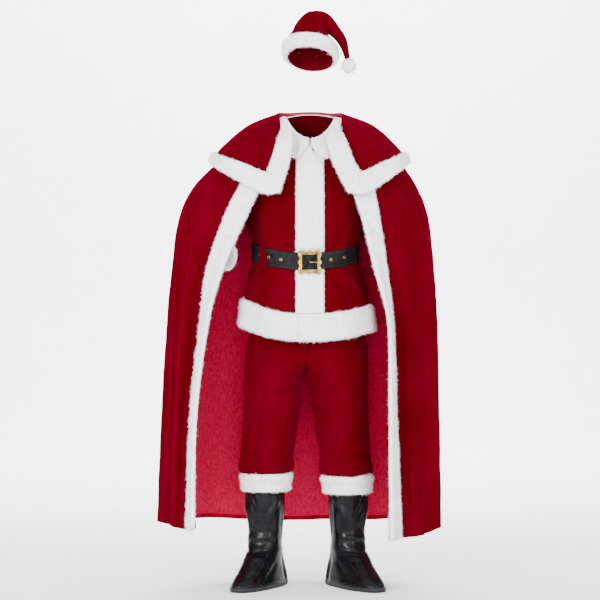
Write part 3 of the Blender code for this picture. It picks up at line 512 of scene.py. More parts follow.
def shell(outer, inner, ring=False):
    """Points and quads of a closed wall between two grids, and 1 for each quad of its inner face."""
    rows, columns = outer.shape[:2]
    size = rows * columns
    r = np.arange(rows - 1)[:, None] * columns
    c = np.arange(columns if ring else columns - 1)
    a, b = (r + c).ravel(), (r + (c + 1) % columns).ravel()
    d, e = a + columns, b + columns
    faces = [np.stack([a, b, e, d], 1), np.stack([a, d, e, b], 1) + size]
    top, after = c, (c + 1) % columns
    faces.append(np.stack([after, top, top + size, after + size], 1))
    last = (rows - 1) * columns
    faces.append(np.stack([top, after, after + size, top + size], 1) + last)
    if not ring:
        s = np.arange(rows - 1) * columns
        t = s + columns - 1
        faces.append(np.stack([s, s + columns, s + columns + size, s + size], 1))
        faces.append(np.stack([t + columns, t, t + size, t + columns + size], 1))
    quads = np.concatenate(faces)
    paint = np.zeros(len(quads), int)
    paint[len(a):2 * len(a)] = 1
    points = np.concatenate([outer.reshape(-1, 3), inner.reshape(-1, 3)])
    corner = points[quads[:len(a)]]
    facing = np.cross(corner[:, 2] - corner[:, 0], corner[:, 3] - corner[:, 1])
    if np.sum(facing * (points[a] - points[a + size])) < 0:
        quads = quads[:, ::-1]
    return points, quads, paint


def arc(points, axis):
    steps = np.linalg.norm(np.diff(points, axis=axis), axis=-1)
    start = np.zeros_like(np.take(steps, [0], axis=axis))
    return np.cumsum(np.concatenate([start, steps], axis=axis), axis=axis)


def to_edge(points, axis):
    run = arc(points, axis)
    return np.minimum(run, np.take(run, [-1], axis=axis) - run)


def grid_normal(points, ring):
    """Normals of a grid of points from its own spacing, so that a small step in a crease can't tip them."""
    if ring:
        across = np.roll(points, -1, axis=1) - np.roll(points, 1, axis=1)
    else:
        across = np.gradient(points, axis=1)
    return unit(np.cross(across, np.gradient(points, axis=0)))


def cloth(name, surface, u, v, finishes, ring=False, sign=1, low=-CLOTH, high=0.0, hems=()):
    """A thin shell on a surface. hems names the grid edges (first, last, left, right) that are turned in."""
    points = surface(u, v)
    normal = grid_normal(points, ring) * sign
    lip = np.zeros(u.shape)
    down = arc(points, 0)
    across = arc(points, 1)
    runs = {"first": down, "last": down[-1:] - down, "left": across, "right": across[:, -1:] - across}
    for hem in hems:
        far = runs[hem]
        lip = np.maximum(lip, HEM_LIP * np.clip((HEM_DEPTH - far) / 0.002, 0, 1))
        groove = -0.0007 * np.exp(-(((far - HEM_DEPTH) / 0.0018) ** 2))
        points = points + normal * groove[..., None]
    outer = points + normal * np.broadcast_to(high, u.shape)[..., None]
    inner = points + normal * (np.broadcast_to(low, u.shape) - lip)[..., None]
    made, quads, paint = shell(outer, inner, ring)
    if "last" in hems and len(finishes) > 2:
        wide = u.shape[1] if ring else u.shape[1] - 1
        near = (runs["last"][:-1, :wide] < HEM_DEPTH).ravel()
        paint[len(near):2 * len(near)][near] = 2
    add_piece(name, made, quads, finishes, paint if len(finishes) > 1 else None)


def tufts(outer, inner, density, length, seed, ring=False, fall=0.35, front_of=None):
    """Three-sided hairs on a fur pad: all over its outer face, and pointing out along its edges."""
    rng = np.random.RandomState(seed)
    if ring:
        outer = np.concatenate([outer, outer[:, :1]], axis=1)
        inner = np.concatenate([inner, inner[:, :1]], axis=1)
    across = outer[:-1, 1:] - outer[:-1, :-1]
    down = outer[1:, :-1] - outer[:-1, :-1]
    area = np.linalg.norm(np.cross(across, down), axis=-1)
    total = int(area.sum() * density)
    cell = rng.choice(area.size, total, p=(area / area.sum()).ravel())
    r, c = np.unravel_index(cell, area.shape)
    s, t = rng.rand(total, 1), rng.rand(total, 1)

    def between(grid):
        top = mix(grid[r, c], grid[r, c + 1], s)
        return mix(top, mix(grid[r + 1, c], grid[r + 1, c + 1], s), t)

    root = between(outer)
    normal = unit(root - between(inner))
    aim = normal + TUFT_SPREAD * rng.normal(size=root.shape) + np.array((0, 0, -fall))
    edges = []
    lines = [(outer[0], inner[0], outer[1]), (outer[-1], inner[-1], outer[-2])]
    if not ring:
        lines += [(outer[:, 0], inner[:, 0], outer[:, 1]), (outer[:, -1], inner[:, -1], outer[:, -2])]
    for top, bottom, beside in lines:
        run = arc(top, 0)
        wide = np.linalg.norm(top - bottom, axis=-1).mean()
        amount = int(run[-1] * max(wide, 0.004) * density * EDGE_DENSITY)
        place = rng.rand(amount) * run[-1]
        k = np.clip(np.searchsorted(run, place) - 1, 0, len(run) - 2)
        share = ((place - run[k]) / np.maximum(run[k + 1] - run[k], 1e-9))[:, None]
        deep = rng.rand(amount, 1) ** 1.3
        a, b, near = (mix(line[k], line[k + 1], share) for line in (top, bottom, beside))
        out = unit(a - near) + 0.25 * unit(a - b)
        edges.append((mix(a, b, deep), out + EDGE_SPREAD * rng.normal(size=a.shape)))
    root = np.concatenate([root] + [edge[0] for edge in edges])
    aim = unit(np.concatenate([aim] + [edge[1] for edge in edges]))
    if front_of is not None:
        kept = root[:, 1] < front_of
        root, aim = root[kept], aim[kept]
    long = length * (0.55 + 0.65 * rng.rand(len(root), 1))
    side = unit(np.cross(aim, rng.normal(size=root.shape)))
    other = np.cross(aim, side)
    base = root - aim * TUFT_ROOT
    points = [base + TUFT_RADIUS * (side * math.cos(g) + other * math.sin(g)) for g in (0, 2.094, 4.189)]
    points.append(root + aim * long)
    points = np.stack(points, axis=1).reshape(-1, 3)
    k = np.arange(len(root))[:, None] * 4
    tris = np.concatenate([k + [0, 1, 3], k + [1, 2, 3], k + [2, 0, 3]])
    return points, tris


def fur_pad(name, surface, u, v, finishes, low=SEAM, full=FUR, edge=FUR_EDGE, ring=False, sign=1,
            density=46000, hair=0.0090, seed=3, soft=0.013, front_of=None):
    """A puffy fur band on a surface, low along its edges, with lumps and hairs."""
    points = surface(u, v)
    normal = normal_at(surface, u, v) * sign
    from_edge = to_edge(points, 0)
    if not ring:
        from_edge = np.minimum(from_edge, to_edge(points, 1))
    rise = np.sqrt(1 - (1 - np.clip(from_edge / soft, 0, 1)) ** 2)
    lumps = sum(height * noise(points, size, seed + k) for k, (height, size) in enumerate(LUMPS))
    height = edge + (full - edge) * rise + lumps * (0.35 + 0.65 * rise)
    base = np.broadcast_to(low, u.shape)
    outer = points + normal * (base + height)[..., None]
    inner = points + normal * base[..., None]
    made, quads, _ = shell(outer, inner, ring)
    hairs = tufts(outer, inner, density, hair, seed, ring, front_of=front_of)
    add_piece(name, made, quads, finishes, spikes=hairs)


def set_inputs(node, **values):
    """Sets inputs of a node by their names, written with _ for each space."""
    for key, value in values.items():
        node.inputs[key.replace("_", " ")].default_value = value


def principled(name, colour, roughness, metallic=0.0, **values):
    made = bpy.data.materials.new(name)
    made.use_nodes = True
    set_inputs(made.node_tree.nodes["Principled BSDF"], Base_Color=(*colour, 1), Roughness=roughness,
               Metallic=metallic, **values)
    return made


def add_node(tree, kind, **values):
    made = tree.nodes.new("ShaderNode" + kind)
    set_inputs(made, **values)
    return made


def textured(made, low, high, scale, detail=4.0, bumps=(), stretch=(1, 1, 1), ends=(0.35, 0.65)):
    """Mottles a material between two colours, and gives it fine bumps (scale, strength, distance)."""
    tree = made.node_tree
    shader = tree.nodes["Principled BSDF"]
    place = add_node(tree, "TexCoord")
    moved = add_node(tree, "Mapping", Scale=stretch)
    tree.links.new(place.outputs["Object"], moved.inputs["Vector"])
    lumps = add_node(tree, "TexNoise", Scale=scale, Detail=detail)
    tree.links.new(moved.outputs["Vector"], lumps.inputs["Vector"])
    ramp = add_node(tree, "ValToRGB")
    for element, end, colour in zip(ramp.color_ramp.elements, ends, (low, high)):
        element.position, element.color = end, (*colour, 1)
    tree.links.new(lumps.outputs["Fac"], ramp.inputs["Fac"])
    tree.links.new(ramp.outputs["Color"], shader.inputs["Base Color"])
    last = None
    for size, strength, distance in bumps:
        grain = add_node(tree, "TexNoise", Scale=size, Detail=2.0)
        tree.links.new(place.outputs["Object"], grain.inputs["Vector"])
        bump = add_node(tree, "Bump", Strength=strength, Distance=distance)
        tree.links.new(grain.outputs["Fac"], bump.inputs["Height"])
        if last is not None:
            tree.links.new(last.outputs["Normal"], bump.inputs["Normal"])
        last = bump
    if last is not None:
        tree.links.new(last.outputs["Normal"], shader.inputs["Normal"])
    return ramp


def paint_sheen(made, ramp, painted_sheen_colour, facing, amount):
    """Paints a brighter colour into the base colour where the cloth turns away from the camera: a painted
    sheen, standing in for the light that velour's pile catches.
    """
    tree = made.node_tree
    weight = add_node(tree, "LayerWeight", Blend=facing)
    span = add_node(tree, "MapRange", From_Min=0.15, From_Max=0.85, To_Max=amount)
    blend = add_node(tree, "Mix")
    blend.data_type = "RGBA"
    colours = [socket for socket in blend.inputs if socket.type == "RGBA"]
    result = next(socket for socket in blend.outputs if socket.type == "RGBA")
    colours[1].default_value = (*painted_sheen_colour, 1)
    tree.links.new(weight.outputs["Facing"], span.inputs["Value"])
    tree.links.new(span.outputs["Result"], blend.inputs["Factor"])
    tree.links.new(ramp.outputs["Color"], colours[0])
    tree.links.new(result, tree.nodes["Principled BSDF"].inputs["Base Color"])


def finishes():
    velour = principled("velour", (0.12, 0.0, 0.006), 0.9, Sheen_Weight=0.08, Sheen_Roughness=0.5,
                        Specular_IOR_Level=0.0, Sheen_Tint=(0.85, 0.0, 0.07, 1))
    ramp = textured(velour, (0.054, 0.0, 0.0019), (0.082, 0.0, 0.0052), 11.0, 3.0,
                    ((900.0, 0.30, 0.0006), (170.0, 0.12, 0.0010)), stretch=(1, 1, 0.35), ends=(0.25, 0.75))
    # Painted sheen: a brighter crimson mixed into the velour's colour where it turns away from the camera.
    paint_sheen(velour, ramp, (0.15, 0.0, 0.014), 0.30, 0.45)
    lining = principled("velour_back", (0.34, 0.004, 0.032), 0.95, Sheen_Weight=0.08, Sheen_Roughness=0.6,
                        Specular_IOR_Level=0.0, Sheen_Tint=(1, 0.2, 0.3, 1))
    textured(lining, (0.39, 0.002, 0.031), (0.54, 0.011, 0.060), 170.0, 6.0,
             ((700.0, 0.5, 0.0006), (90.0, 0.2, 0.001)), stretch=(1, 1, 0.6))
    hem = principled("velour_hem", (0.22, 0.0, 0.012), 0.9, Sheen_Weight=0.25, Specular_IOR_Level=0.0,
                     Sheen_Tint=(0.85, 0.0, 0.13, 1))
    textured(hem, (0.17, 0.0, 0.009), (0.27, 0.0, 0.016), 40.0, 4.0, ((700.0, 0.4, 0.0006),))
    fur = principled("fur", (0.88, 0.88, 0.885), 0.95, Sheen_Weight=0.2, Specular_IOR_Level=0.05)
    textured(fur, (0.86, 0.86, 0.87), (0.96, 0.96, 0.96), 150.0, 6.0,
             ((520.0, 0.55, 0.002), (130.0, 0.45, 0.004)), ends=(0.3, 0.6))
    strap = principled("belt_leather", (0.008, 0.008, 0.009), 0.55, Specular_IOR_Level=0.05)
    textured(strap, (0.005, 0.005, 0.006), (0.011, 0.011, 0.012), 60.0, 4.0, ((520.0, 0.35, 0.0006),))
    thread = principled("belt_thread", (0.03, 0.032, 0.035), 0.7)
    textured(thread, (0.020, 0.021, 0.024), (0.04, 0.042, 0.045), 300.0, 2.0)
    vinyl = principled("boot_vinyl", (0.004, 0.004, 0.005), 0.22, Specular_IOR_Level=0.11, Coat_Weight=0.02,
                       Coat_Roughness=0.16)
    textured(vinyl, (0.0025, 0.0025, 0.003), (0.006, 0.006, 0.007), 30.0, 3.0,
             ((260.0, 0.08, 0.0008), (38.0, 0.18, 0.004)))
    sole = principled("boot_edge", (0.008, 0.008, 0.009), 0.5, Specular_IOR_Level=0.3)
    textured(sole, (0.005, 0.005, 0.006), (0.012, 0.012, 0.013), 80.0, 3.0, ((300.0, 0.2, 0.0006),))
    gold = principled("antique_gold", (0.50, 0.31, 0.07), 0.3, 1.0)
    textured(gold, (0.13, 0.075, 0.013), (0.46, 0.29, 0.072), 95.0, 4.0, ((260.0, 0.12, 0.0008),))
    return dict(velour=velour, lining=lining, hem=hem, fur=fur, strap=strap, thread=thread, vinyl=vinyl,
                sole=sole, gold=gold)


def even(first, last, count):
    return np.linspace(first, last, count)


def ring_grid(count, rows):
    return np.meshgrid(np.arange(count) / count, rows)


def panel(turns_at, v_rows, shares):
    """Grids of u and v, with u running at each row between the two turns that turns_at gives."""
    v = np.repeat(v_rows[:, None], len(shares), axis=1)
    first, last = turns_at(v_rows)
    return first[:, None] + (last - first)[:, None] * shares[None, :], v


HEM_LIP = 0.0012
HEM_DEPTH = 0.014
TUFT_RADIUS = 0.0010
TUFT_ROOT = 0.0015
TUFT_SPREAD = 0.55
EDGE_SPREAD = 0.45
EDGE_DENSITY = 1.6
# Height and width of the lumps of a fur pad, coarse and fine.
LUMPS = ((0.0022, 0.020), (0.0017, 0.009))
SIDE_GAP = 0.00013

JACKET_CREASES = thousandths((
    (56, 8.05, 150, 9.95, 12, 10, -6), (78, 8.05, 198, 9.6, -8, 9, 5.5), (120, 8.05, 232, 9.2, 6, 9, -5.5),
    (46, 8.3, 88, 9.95, 4, 8, 4.5), (175, 8.05, 235, 8.9, 4, 7, 4), (72, 7, 56, 5.2, 6, 10, -4.5),
    (108, 6.95, 148, 4.7, -8, 10, 5.5), (160, 6.95, 214, 5.3, 6, 9, -5), (62, 4.9, 190, 3.7, 4, 12, 4),
    (210, 6.9, 236, 5.6, 3, 8, 4), (-62, 8.05, -128, 9.98, 10, 10, -6),
    (-92, 8.05, -176, 9.7, -10, 10, 5.5), (-140, 8.05, -222, 9.5, 6, 8, -5),
    (-50, 8.25, -84, 9.9, -5, 8, 4.5), (-190, 8.05, -236, 9, 4, 7, 4.5), (-66, 7, -58, 5, -5, 10, 5),
    (-98, 6.95, -136, 4.9, 8, 10, -5), (-148, 6.95, -208, 5.1, -6, 9, 5), (-64, 4.6, -184, 3.5, -4, 12, -4),
    (-214, 6.9, -238, 5.7, 3, 8, -4), (290, 8.05, 330, 9.95, 10, 10, -6), (345, 8.05, 372, 9.9, -8, 9, 5.5),
    (405, 8.05, 396, 9.95, 6, 10, -5.5), (470, 8.05, 484, 9.8, -6, 9, 5), (560, 8.05, 546, 9.95, 6, 10, -6),
    (618, 8.05, 640, 9.85, -6, 9, 5.5), (690, 8.05, 672, 9.9, 8, 10, -5.5), (300, 6.95, 330, 5.1, 6, 9, 5),
    (360, 6.95, 350, 4.4, -6, 11, -5), (440, 6.95, 425, 4, 6, 11, 5), (520, 6.95, 535, 4.3, -6, 10, -5),
    (585, 6.95, 580, 4.6, 6, 10, 5.5), (655, 6.95, 640, 5, -6, 9, -5), (705, 6.95, 690, 5.2, 4, 9, 4.5),
), whole=(1, 3))
SLEEVE_CREASES = thousandths((
    (200, 3, 620, 4, 20, 9, -5), (100, 4.3, 500, 4.9, -30, 8, 5), (280, 5.4, 700, 5.1, 20, 8, -5.5),
    (120, 5.9, 550, 6, 30, 7, 5), (340, 6.6, 800, 6.4, -20, 7, -5), (50, 7.2, 440, 6.9, 20, 7, 4),
    (620, 5.2, 980, 5.6, 20, 8, 4.5), (600, 6.9, 950, 7.3, 20, 7, -4.5), (700, 3.4, 950, 4.4, 20, 9, 4),
    (20, 7.7, 300, 7.9, 10, 6, 3.5),
), whole=(1, 3))
LEG_CREASES = thousandths((
    (20, 3.5, 200, 4.9, 20, 13, -6), (30, 3.9, 300, 4.6, -20, 12, 5.5), (100, 2.3, 60, 3.6, 10, 12, 4.5),
    (340, 2, 260, 3.9, 20, 13, -5), (160, 4.7, 220, 7, -20, 14, 5.5), (300, 4.6, 340, 6.6, 20, 13, -5.5),
    (60, 5.8, 300, 6.2, 30, 10, 4), (220, 6.5, 440, 6.1, -20, 10, -4.5), (80, 7.1, 280, 7.4, 20, 9, 4.5),
    (280, 7.5, 460, 7, -20, 9, -4.5), (600, 4.4, 660, 6.8, 20, 14, 5.5), (720, 3.6, 800, 5.4, -20, 13, -6),
    (860, 4.6, 840, 7, 20, 13, 5.5), (660, 6, 900, 6.4, -30, 10, -4.5), (700, 7.2, 920, 7, 20, 9, 4.5),
    (550, 2.2, 620, 3.8, 20, 13, -4.5), (900, 3.6, 720, 4.4, 20, 12, 5),
), whole=(1, 3))
LEG_GATHERS = (
    0.03, 0.08, 0.14, 0.19, 0.26, 0.31, 0.38, 0.44, 0.49, 0.55, 0.62, 0.67, 0.74, 0.80, 0.86, 0.92, 0.97,
)
CAPE_CREASES = thousandths((
    (120, 2.6, 128, 7.9, 6, 14, -5), (140, 2.2, 150, 6.2, -4, 12, 4.5), (150, 3.6, 182, 7.9, 4, 16, 6),
    (190, 2.6, 205, 7.9, -6, 15, -6), (232, 2.4, 245, 6.6, 4, 16, 6), (260, 3.8, 266, 7.9, -4, 14, -6),
    (312, 2.6, 318, 7.9, 6, 16, 6), (372, 2.4, 368, 7, -6, 15, -7), (430, 2.5, 426, 7.9, 4, 16, 6.5),
    (488, 2.4, 486, 7.4, 6, 15, -6.5), (545, 2.6, 548, 7.9, -4, 16, 6), (602, 2.4, 604, 7, 6, 15, -7),
    (662, 2.6, 660, 7.9, -6, 16, 6.5), (720, 2.4, 716, 7.4, 4, 14, -6), (775, 2.6, 772, 7.9, -6, 15, 6),
    (824, 2.6, 812, 6.8, 4, 14, -6), (850, 3.2, 862, 7.9, -4, 14, 5.5), (880, 2.4, 884, 7.9, 4, 12, -4.5),
    (160, 2.2, 215, 4.6, 10, 14, 5), (790, 4.4, 840, 2.2, 10, 14, 5),
), whole=(1, 3))
CAPELET_CREASES = thousandths((
    (150, 0.9, 120, 2.7, 10, 12, 4.5), (190, 0.8, 165, 2.7, -8, 13, -5), (225, 0.7, 215, 2.7, 6, 13, 5),
    (285, 0.6, 275, 2.7, 6, 13, -4.5), (340, 0.6, 330, 2.7, -6, 14, 5), (410, 0.6, 405, 2.7, 6, 14, -5),
    (470, 0.6, 468, 2.7, 6, 14, 5), (545, 0.6, 552, 2.7, -6, 14, -5), (605, 0.6, 612, 2.7, 6, 14, 5),
    (680, 0.6, 690, 2.7, -6, 13, -5), (735, 0.7, 742, 2.7, 6, 13, 4.5), (790, 0.8, 800, 2.7, 8, 13, -5),
    (830, 0.8, 850, 2.7, -8, 12, 5), (870, 0.9, 885, 2.7, 6, 10, -4),
), whole=(1, 3))
HAT_CREASES = thousandths((
    (60, 1.25, 20, 2.6, 20, 8, -3.5), (160, 1.2, 120, 2.9, -20, 8, 3.5), (960, 2.2, 1060, 2.9, 0, 6, -4.5),
    (840, 2.6, 1160, 3.3, 0, 6, 4), (880, 3.3, 1120, 3.8, 20, 5, -4), (900, 4.2, 1120, 4.5, 20, 5, 3),
    (700, 1.3, 560, 3.4, 20, 10, 4), (600, 1.2, 460, 3, -20, 10, -4), (340, 1.2, 400, 3.2, 20, 9, 3.5),
    (800, 1.2, 740, 3, 20, 9, -3.5), (520, 3.2, 600, 5.2, 20, 6, 3), (300, 3.4, 220, 5.4, 20, 6, -3),
    (700, 3.6, 800, 5.8, 20, 5, -3),
), whole=(1, 3))
BOOT_CREASES = thousandths((
    (60, 3.3, 440, 3.5, -30, 9, 4.5), (20, 4.1, 300, 4.5, 20, 6, -5), (220, 4.6, 500, 4.1, 20, 6, -4.5),
    (100, 4.9, 420, 5.1, -20, 8, 4), (40, 1, 160, 3, 20, 10, 5), (300, 0.5, 220, 2.4, 20, 10, -5),
    (420, 1, 340, 3, -20, 9, 5), (520, 2.6, 860, 3.4, 20, 8, -4.5), (560, 3.8, 920, 4.3, -20, 8, 4.5),
    (620, 0.6, 660, 2.8, 20, 10, 4.5), (860, 0.4, 800, 2.6, 20, 10, -5), (960, 1.2, 920, 3.6, 10, 9, 4.5),
    (900, 4.6, 890, 9.2, 10, 14, 6), (970, 5, 950, 9.2, -10, 8, -4), (820, 5, 830, 9.2, 10, 9, -4),
    (30, 5.4, 120, 8.4, 0, 9, -3.5), (140, 5.6, 180, 8, 10, 10, 2.5), (360, 5.6, 330, 8.2, 0, 10, -2.5),
    (470, 5.4, 420, 8.4, 10, 9, 3),
), whole=(1, 3))


def jacket_pieces(f):
    red = (f["velour"],)
    shape = creased(jacket, JACKET_CREASES, seed=11)
    rows = even(0, HEM_ROW, 126)
    left = panel(lambda v: (turn_at_x(v, OPENING_X - SEAM), side_turn(v)), rows, even(0, 1, 72))
    right = panel(lambda v: (turn_at_x(v, BAND_MIDDLE_X), -side_turn(v)), rows, even(0, 1, 72))
    back = panel(lambda v: (side_turn(v, True), 1 - side_turn(v, True)), rows, even(0, 1, 112))
    for name, (u, v) in (("jacket_front_left", left), ("jacket_front_right", right), ("jacket_back", back)):
        cloth(name, shape, u, v, red, hems=() if name == "jacket_back" else ("left",))
    white = (f["fur"],)
    rows = even(0.5, HEM_BAND_ROW - 0.02, 120)
    u, v = panel(lambda v: (turn_at_x(v, BAND_LEFT_X), turn_at_x(v, BAND_RIGHT_X)), rows, even(0, 1, 20))
    low_row, high_row = BELT_TOP_ROW - 0.30, BELT_BOTTOM_ROW + 0.30
    pressed = np.clip(np.minimum(v - low_row, high_row - v) / 0.18, 0, 1)
    pressed = np.maximum(pressed, np.clip((2.05 - v) / 0.3, 0, 1))
    fur_pad("jacket_centre_band", jacket, u, v, white, full=FUR + pressed * (FUR_THIN - FUR),
            edge=FUR_EDGE + pressed * (FUR_THIN - 0.001 - FUR_EDGE), seed=21, hair=0.0065)
    rows = even(HEM_BAND_ROW, HEM_ROW, 20)
    u, v = panel(lambda v: (turn_at_x(v, OPENING_X - SEAM), 1 + turn_at_x(v, OPENING_X)), rows,
                 even(0, 1, 280))
    fur_pad("jacket_hem_band", jacket, u, v, white, seed=31)
    for name, side in (("belt_loop_left", -1), ("belt_loop_right", 1)):
        rows = even(6.82, 8.18, 40)
        u, v = panel(lambda v: tuple(turn_at_x(v, BAND_LEFT_X if side < 0 else BAND_RIGHT_X) * (1 - s)
                                     - side * side_turn(v) * s for s in (0.42, 0.56)), rows, even(0, 1, 14))
        over = np.clip(np.minimum(v - 6.84, 8.16 - v) / 0.14, 0, 1)
        lift = SEAM + (2 * SEAM + BELT_THICKNESS) * (over * over * (3 - 2 * over))
        cloth(name, jacket, u, v, red, low=lift, high=lift + 0.0016)


def collar_pieces(f):
    for name, side, middle in (("collar_left", -1, -0.005), ("collar_right", 1, 0.001)):
        ends = [(COLLAR_TIP_ROW, lambda v, x=middle: turn_at_x(v, x))]
        if side < 0:
            ends.append((1.78, lambda v: turn_at_x(v, OPENING_X)))
        near = BAND_LEFT_X if side < 0 else BAND_RIGHT_X
        for share, last in COLLAR_FRONT:
            ends.append((last, lambda v, s=share: turn_at_x(v, near) * (1 - s) - side * side_turn(v) * s))
        for k in (2, 4, 6):
            ends.append((COLLAR_BACK_ROW, lambda v, k=k: -side * (side_turn(v, True)
                                                                  + (0.5 - side_turn(v, True)) * k / 8)))
        ends.append((COLLAR_BACK_ROW, lambda v: -side * (0.4998 + 0 * v)))
        share = even(0, 1, 26)
        turns = np.stack([end[1](share * end[0]) for end in ends], axis=1)
        lasts = np.array([end[0] for end in ends])
        place = even(0, len(ends) - 1, 100)
        index, w = spans(len(ends), place)
        u = sum(w[k] * turns[:, index[k]] for k in range(4))
        v = share[:, None] * sum(w[k] * lasts[index[k]] for k in range(4))[None, :]
        fade = np.clip((place - 1) / 3, 0, 1)
        rise = COLLAR_RISE[0] + fade * (COLLAR_RISE[1] - COLLAR_RISE[0])
        thick = COLLAR_FUR[0] + fade * (COLLAR_FUR[1] - COLLAR_FUR[0])
        climb = np.clip(share / 0.4, 0, 1)[:, None]
        low = COLLAR_ROOT + climb * (rise[None, :] - COLLAR_ROOT)
        fur_pad(name, jacket, u, v, (f["fur"],), low=low, full=thick[None, :] + 0 * u,
                edge=0.45 * thick[None, :] + 0 * u, seed=41 + side, soft=0.016, hair=0.0065, front_of=-0.075)


def armhole_line(side, s):
    """Points on the armhole's edge, moved in by a seam, at places counted in tenths of the way round."""
    v = np.interp(s, np.arange(11), JACKET_KNOTS)
    u = -side * np.where(s <= 5, side_turn(v), side_turn(v, True))
    points, normal = jacket(u, v), normal_at(jacket, u, v)
    inwards = points.mean(axis=0) - points
    inwards = unit(inwards - normal * np.sum(inwards * normal, axis=-1, keepdims=True))
    return points + inwards * 2 * SEAM


def sleeve_surface(side, count):
    rows = np.array([(row[0 if side < 0 else 1], *row[2:]) for row in SLEEVE_ROWS])
    angle = 2 * math.pi * np.arange(count) / count
    top, flip, rings = np.array((side * 0.6, 0, 0.8)), 1, []
    for k, v in enumerate(SLEEVE_SAMPLES):
        centre, radius = curve(rows[:, :3], v), curve(rows[:, 3], v)
        along = unit(curve(rows[:, :3], v + 0.05) - curve(rows[:, :3], v - 0.05))
        top = unit(top - along * (top @ along))
        front = np.cross(along, top)
        if k == 0:
            flip = -1 if front[1] > 0 else 1
        rings.append(centre + (top * np.cos(angle)[:, None] + front * flip * np.sin(angle)[:, None]) * radius)
    edge = armhole_line(side, np.arange(count) * 10 / count)
    head = (edge + np.array((side * SLEEVE_HEAD_OUT, 0, 0)) + rings[0]) / 2
    return net_surface(np.array([edge, head, *rings[1:]]), ring=True)


def sleeves(f):
    for name, side in (("left", -1), ("right", 1)):
        base = sleeve_surface(side, 64)
        sign = 1 if side < 0 else -1
        shape = creased(base, SLEEVE_CREASES, sign=sign, seed=51 + side)
        u, v = ring_grid(64, even(0, 10, 92))
        cloth(f"sleeve_{name}", shape, u, v, (f["velour"],), ring=True, sign=sign,
              hems=("last",))
        u, v = ring_grid(64, even(8, 10, 22))
        fur_pad(f"sleeve_cuff_{name}", base, u, v, (f["fur"],), ring=True, sign=sign,
                seed=61 + side, hair=0.0065)


def trouser_pieces(f):
    red, tops = (f["velour"],), {}
    gathers = tuple((g, 7.4 + 0.5 * (k % 3), g + 0.006 * (-1) ** k, 9.05, 0.004, 0.0052, 0.0036 * (-1) ** k)
                    for k, g in enumerate(LEG_GATHERS))
    for name, side, folds in (("left", -1, LEG_LEFT_FOLDS), ("right", 1, LEG_RIGHT_FOLDS)):
        shift = 0.0 if side < 0 else 0.035
        creases = tuple((a + shift, b, c + shift, d + 0.2 * side * shift, e, w, h)
                        for a, b, c, d, e, w, h in LEG_CREASES)
        base = leg(side, folds)
        shape = creased(bloused(base, -side), creases + gathers, sign=-side, seed=71 + side)
        u, v = np.meshgrid(even(INSEAM_GAP, 1 - INSEAM_GAP, 104), even(0, LEG_END_ROW, 150))
        cloth(f"trouser_leg_{name}", shape, u, v, red, sign=-side, hems=("last",))
        u, v = np.meshgrid(even(INSEAM_GAP, 1 - INSEAM_GAP, 101)[:-1], even(LEG_CUFF_ROW, LEG_END_ROW, 24))
        fur_pad(f"trouser_cuff_{name}", base, u, v, (f["fur"],), ring=True, sign=-side,
                full=LEG_CUFF_FUR, seed=81 + side)
        tops[side] = base(even(INSEAM_GAP, 1 - INSEAM_GAP, 120), np.zeros(120))
    loop = np.concatenate([tops[-1], tops[1][::-1]])
    centre = loop.mean(axis=0)
    inwards = unit((centre - loop) * (1, 1, 0))
    heights = even(SEAM, WAISTBAND_HEIGHT, 16)
    ripple = 0.0012 * np.sin(np.arange(len(loop)) * 0.9) * (1 + 0.5 * np.sin(np.arange(len(loop)) * 0.31))
    bulge = np.sin(math.pi * (heights - SEAM) / WAISTBAND_HEIGHT)
    outer = np.array([loop + (0, 0, h) - inwards * (ripple * b)[:, None] for h, b in zip(heights, bulge)])
    inner = outer + inwards[None] * CLOTH * 2
    points, quads, _ = shell(outer, inner, ring=True)
    add_piece("trouser_waistband", points, quads, red)


def hat_pieces(f):
    shape = creased(hat, HAT_CREASES, seed=91)
    u, v = ring_grid(92, even(0, 8, 112))
    cloth("hat_crown", shape, u, v, (f["velour"],), ring=True, hems=("first",))
    u, v = ring_grid(120, even(0, 1, 24))
    fur_pad("hat_brim", hat, u, v, (f["fur"],), ring=True, seed=95, full=0.0135)
    low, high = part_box("hat_pompom")
    centre = (np.array(low) + np.array(high)) / 2 - DROP
    u, v = ring_grid(48, even(0.01, 0.99, 30))
    ring = stack(np.cos(2 * math.pi * u) * np.sin(math.pi * v), np.sin(2 * math.pi * u) * np.sin(math.pi * v),
                 -np.cos(math.pi * v))
    lump = 1 + 0.07 * noise(ring, 0.55, 97) + 0.05 * noise(ring, 0.25, 98)
    outer = centre + ring * (POMPOM_RADIUS * 0.97 * lump)[..., None]
    inner = centre + ring * POMPOM_RADIUS * 0.5
    points, quads, _ = shell(outer, inner, ring=True)
    hairs = tufts(outer, inner, 60000, 0.0075, 99, ring=True, fall=0.1)
    add_piece("hat_pompom", points, quads, (f["fur"],), spikes=hairs)


def cape_grid(first, last, wide, tall, start=0.0, end=1.0, hem=0.0):
    rows = even(first, last - hem, tall - (8 if hem else 0))
    if hem:
        rows = np.concatenate([rows, even(last - hem, last, 9)[1:]])
    return np.meshgrid(even(start, end, wide), rows)


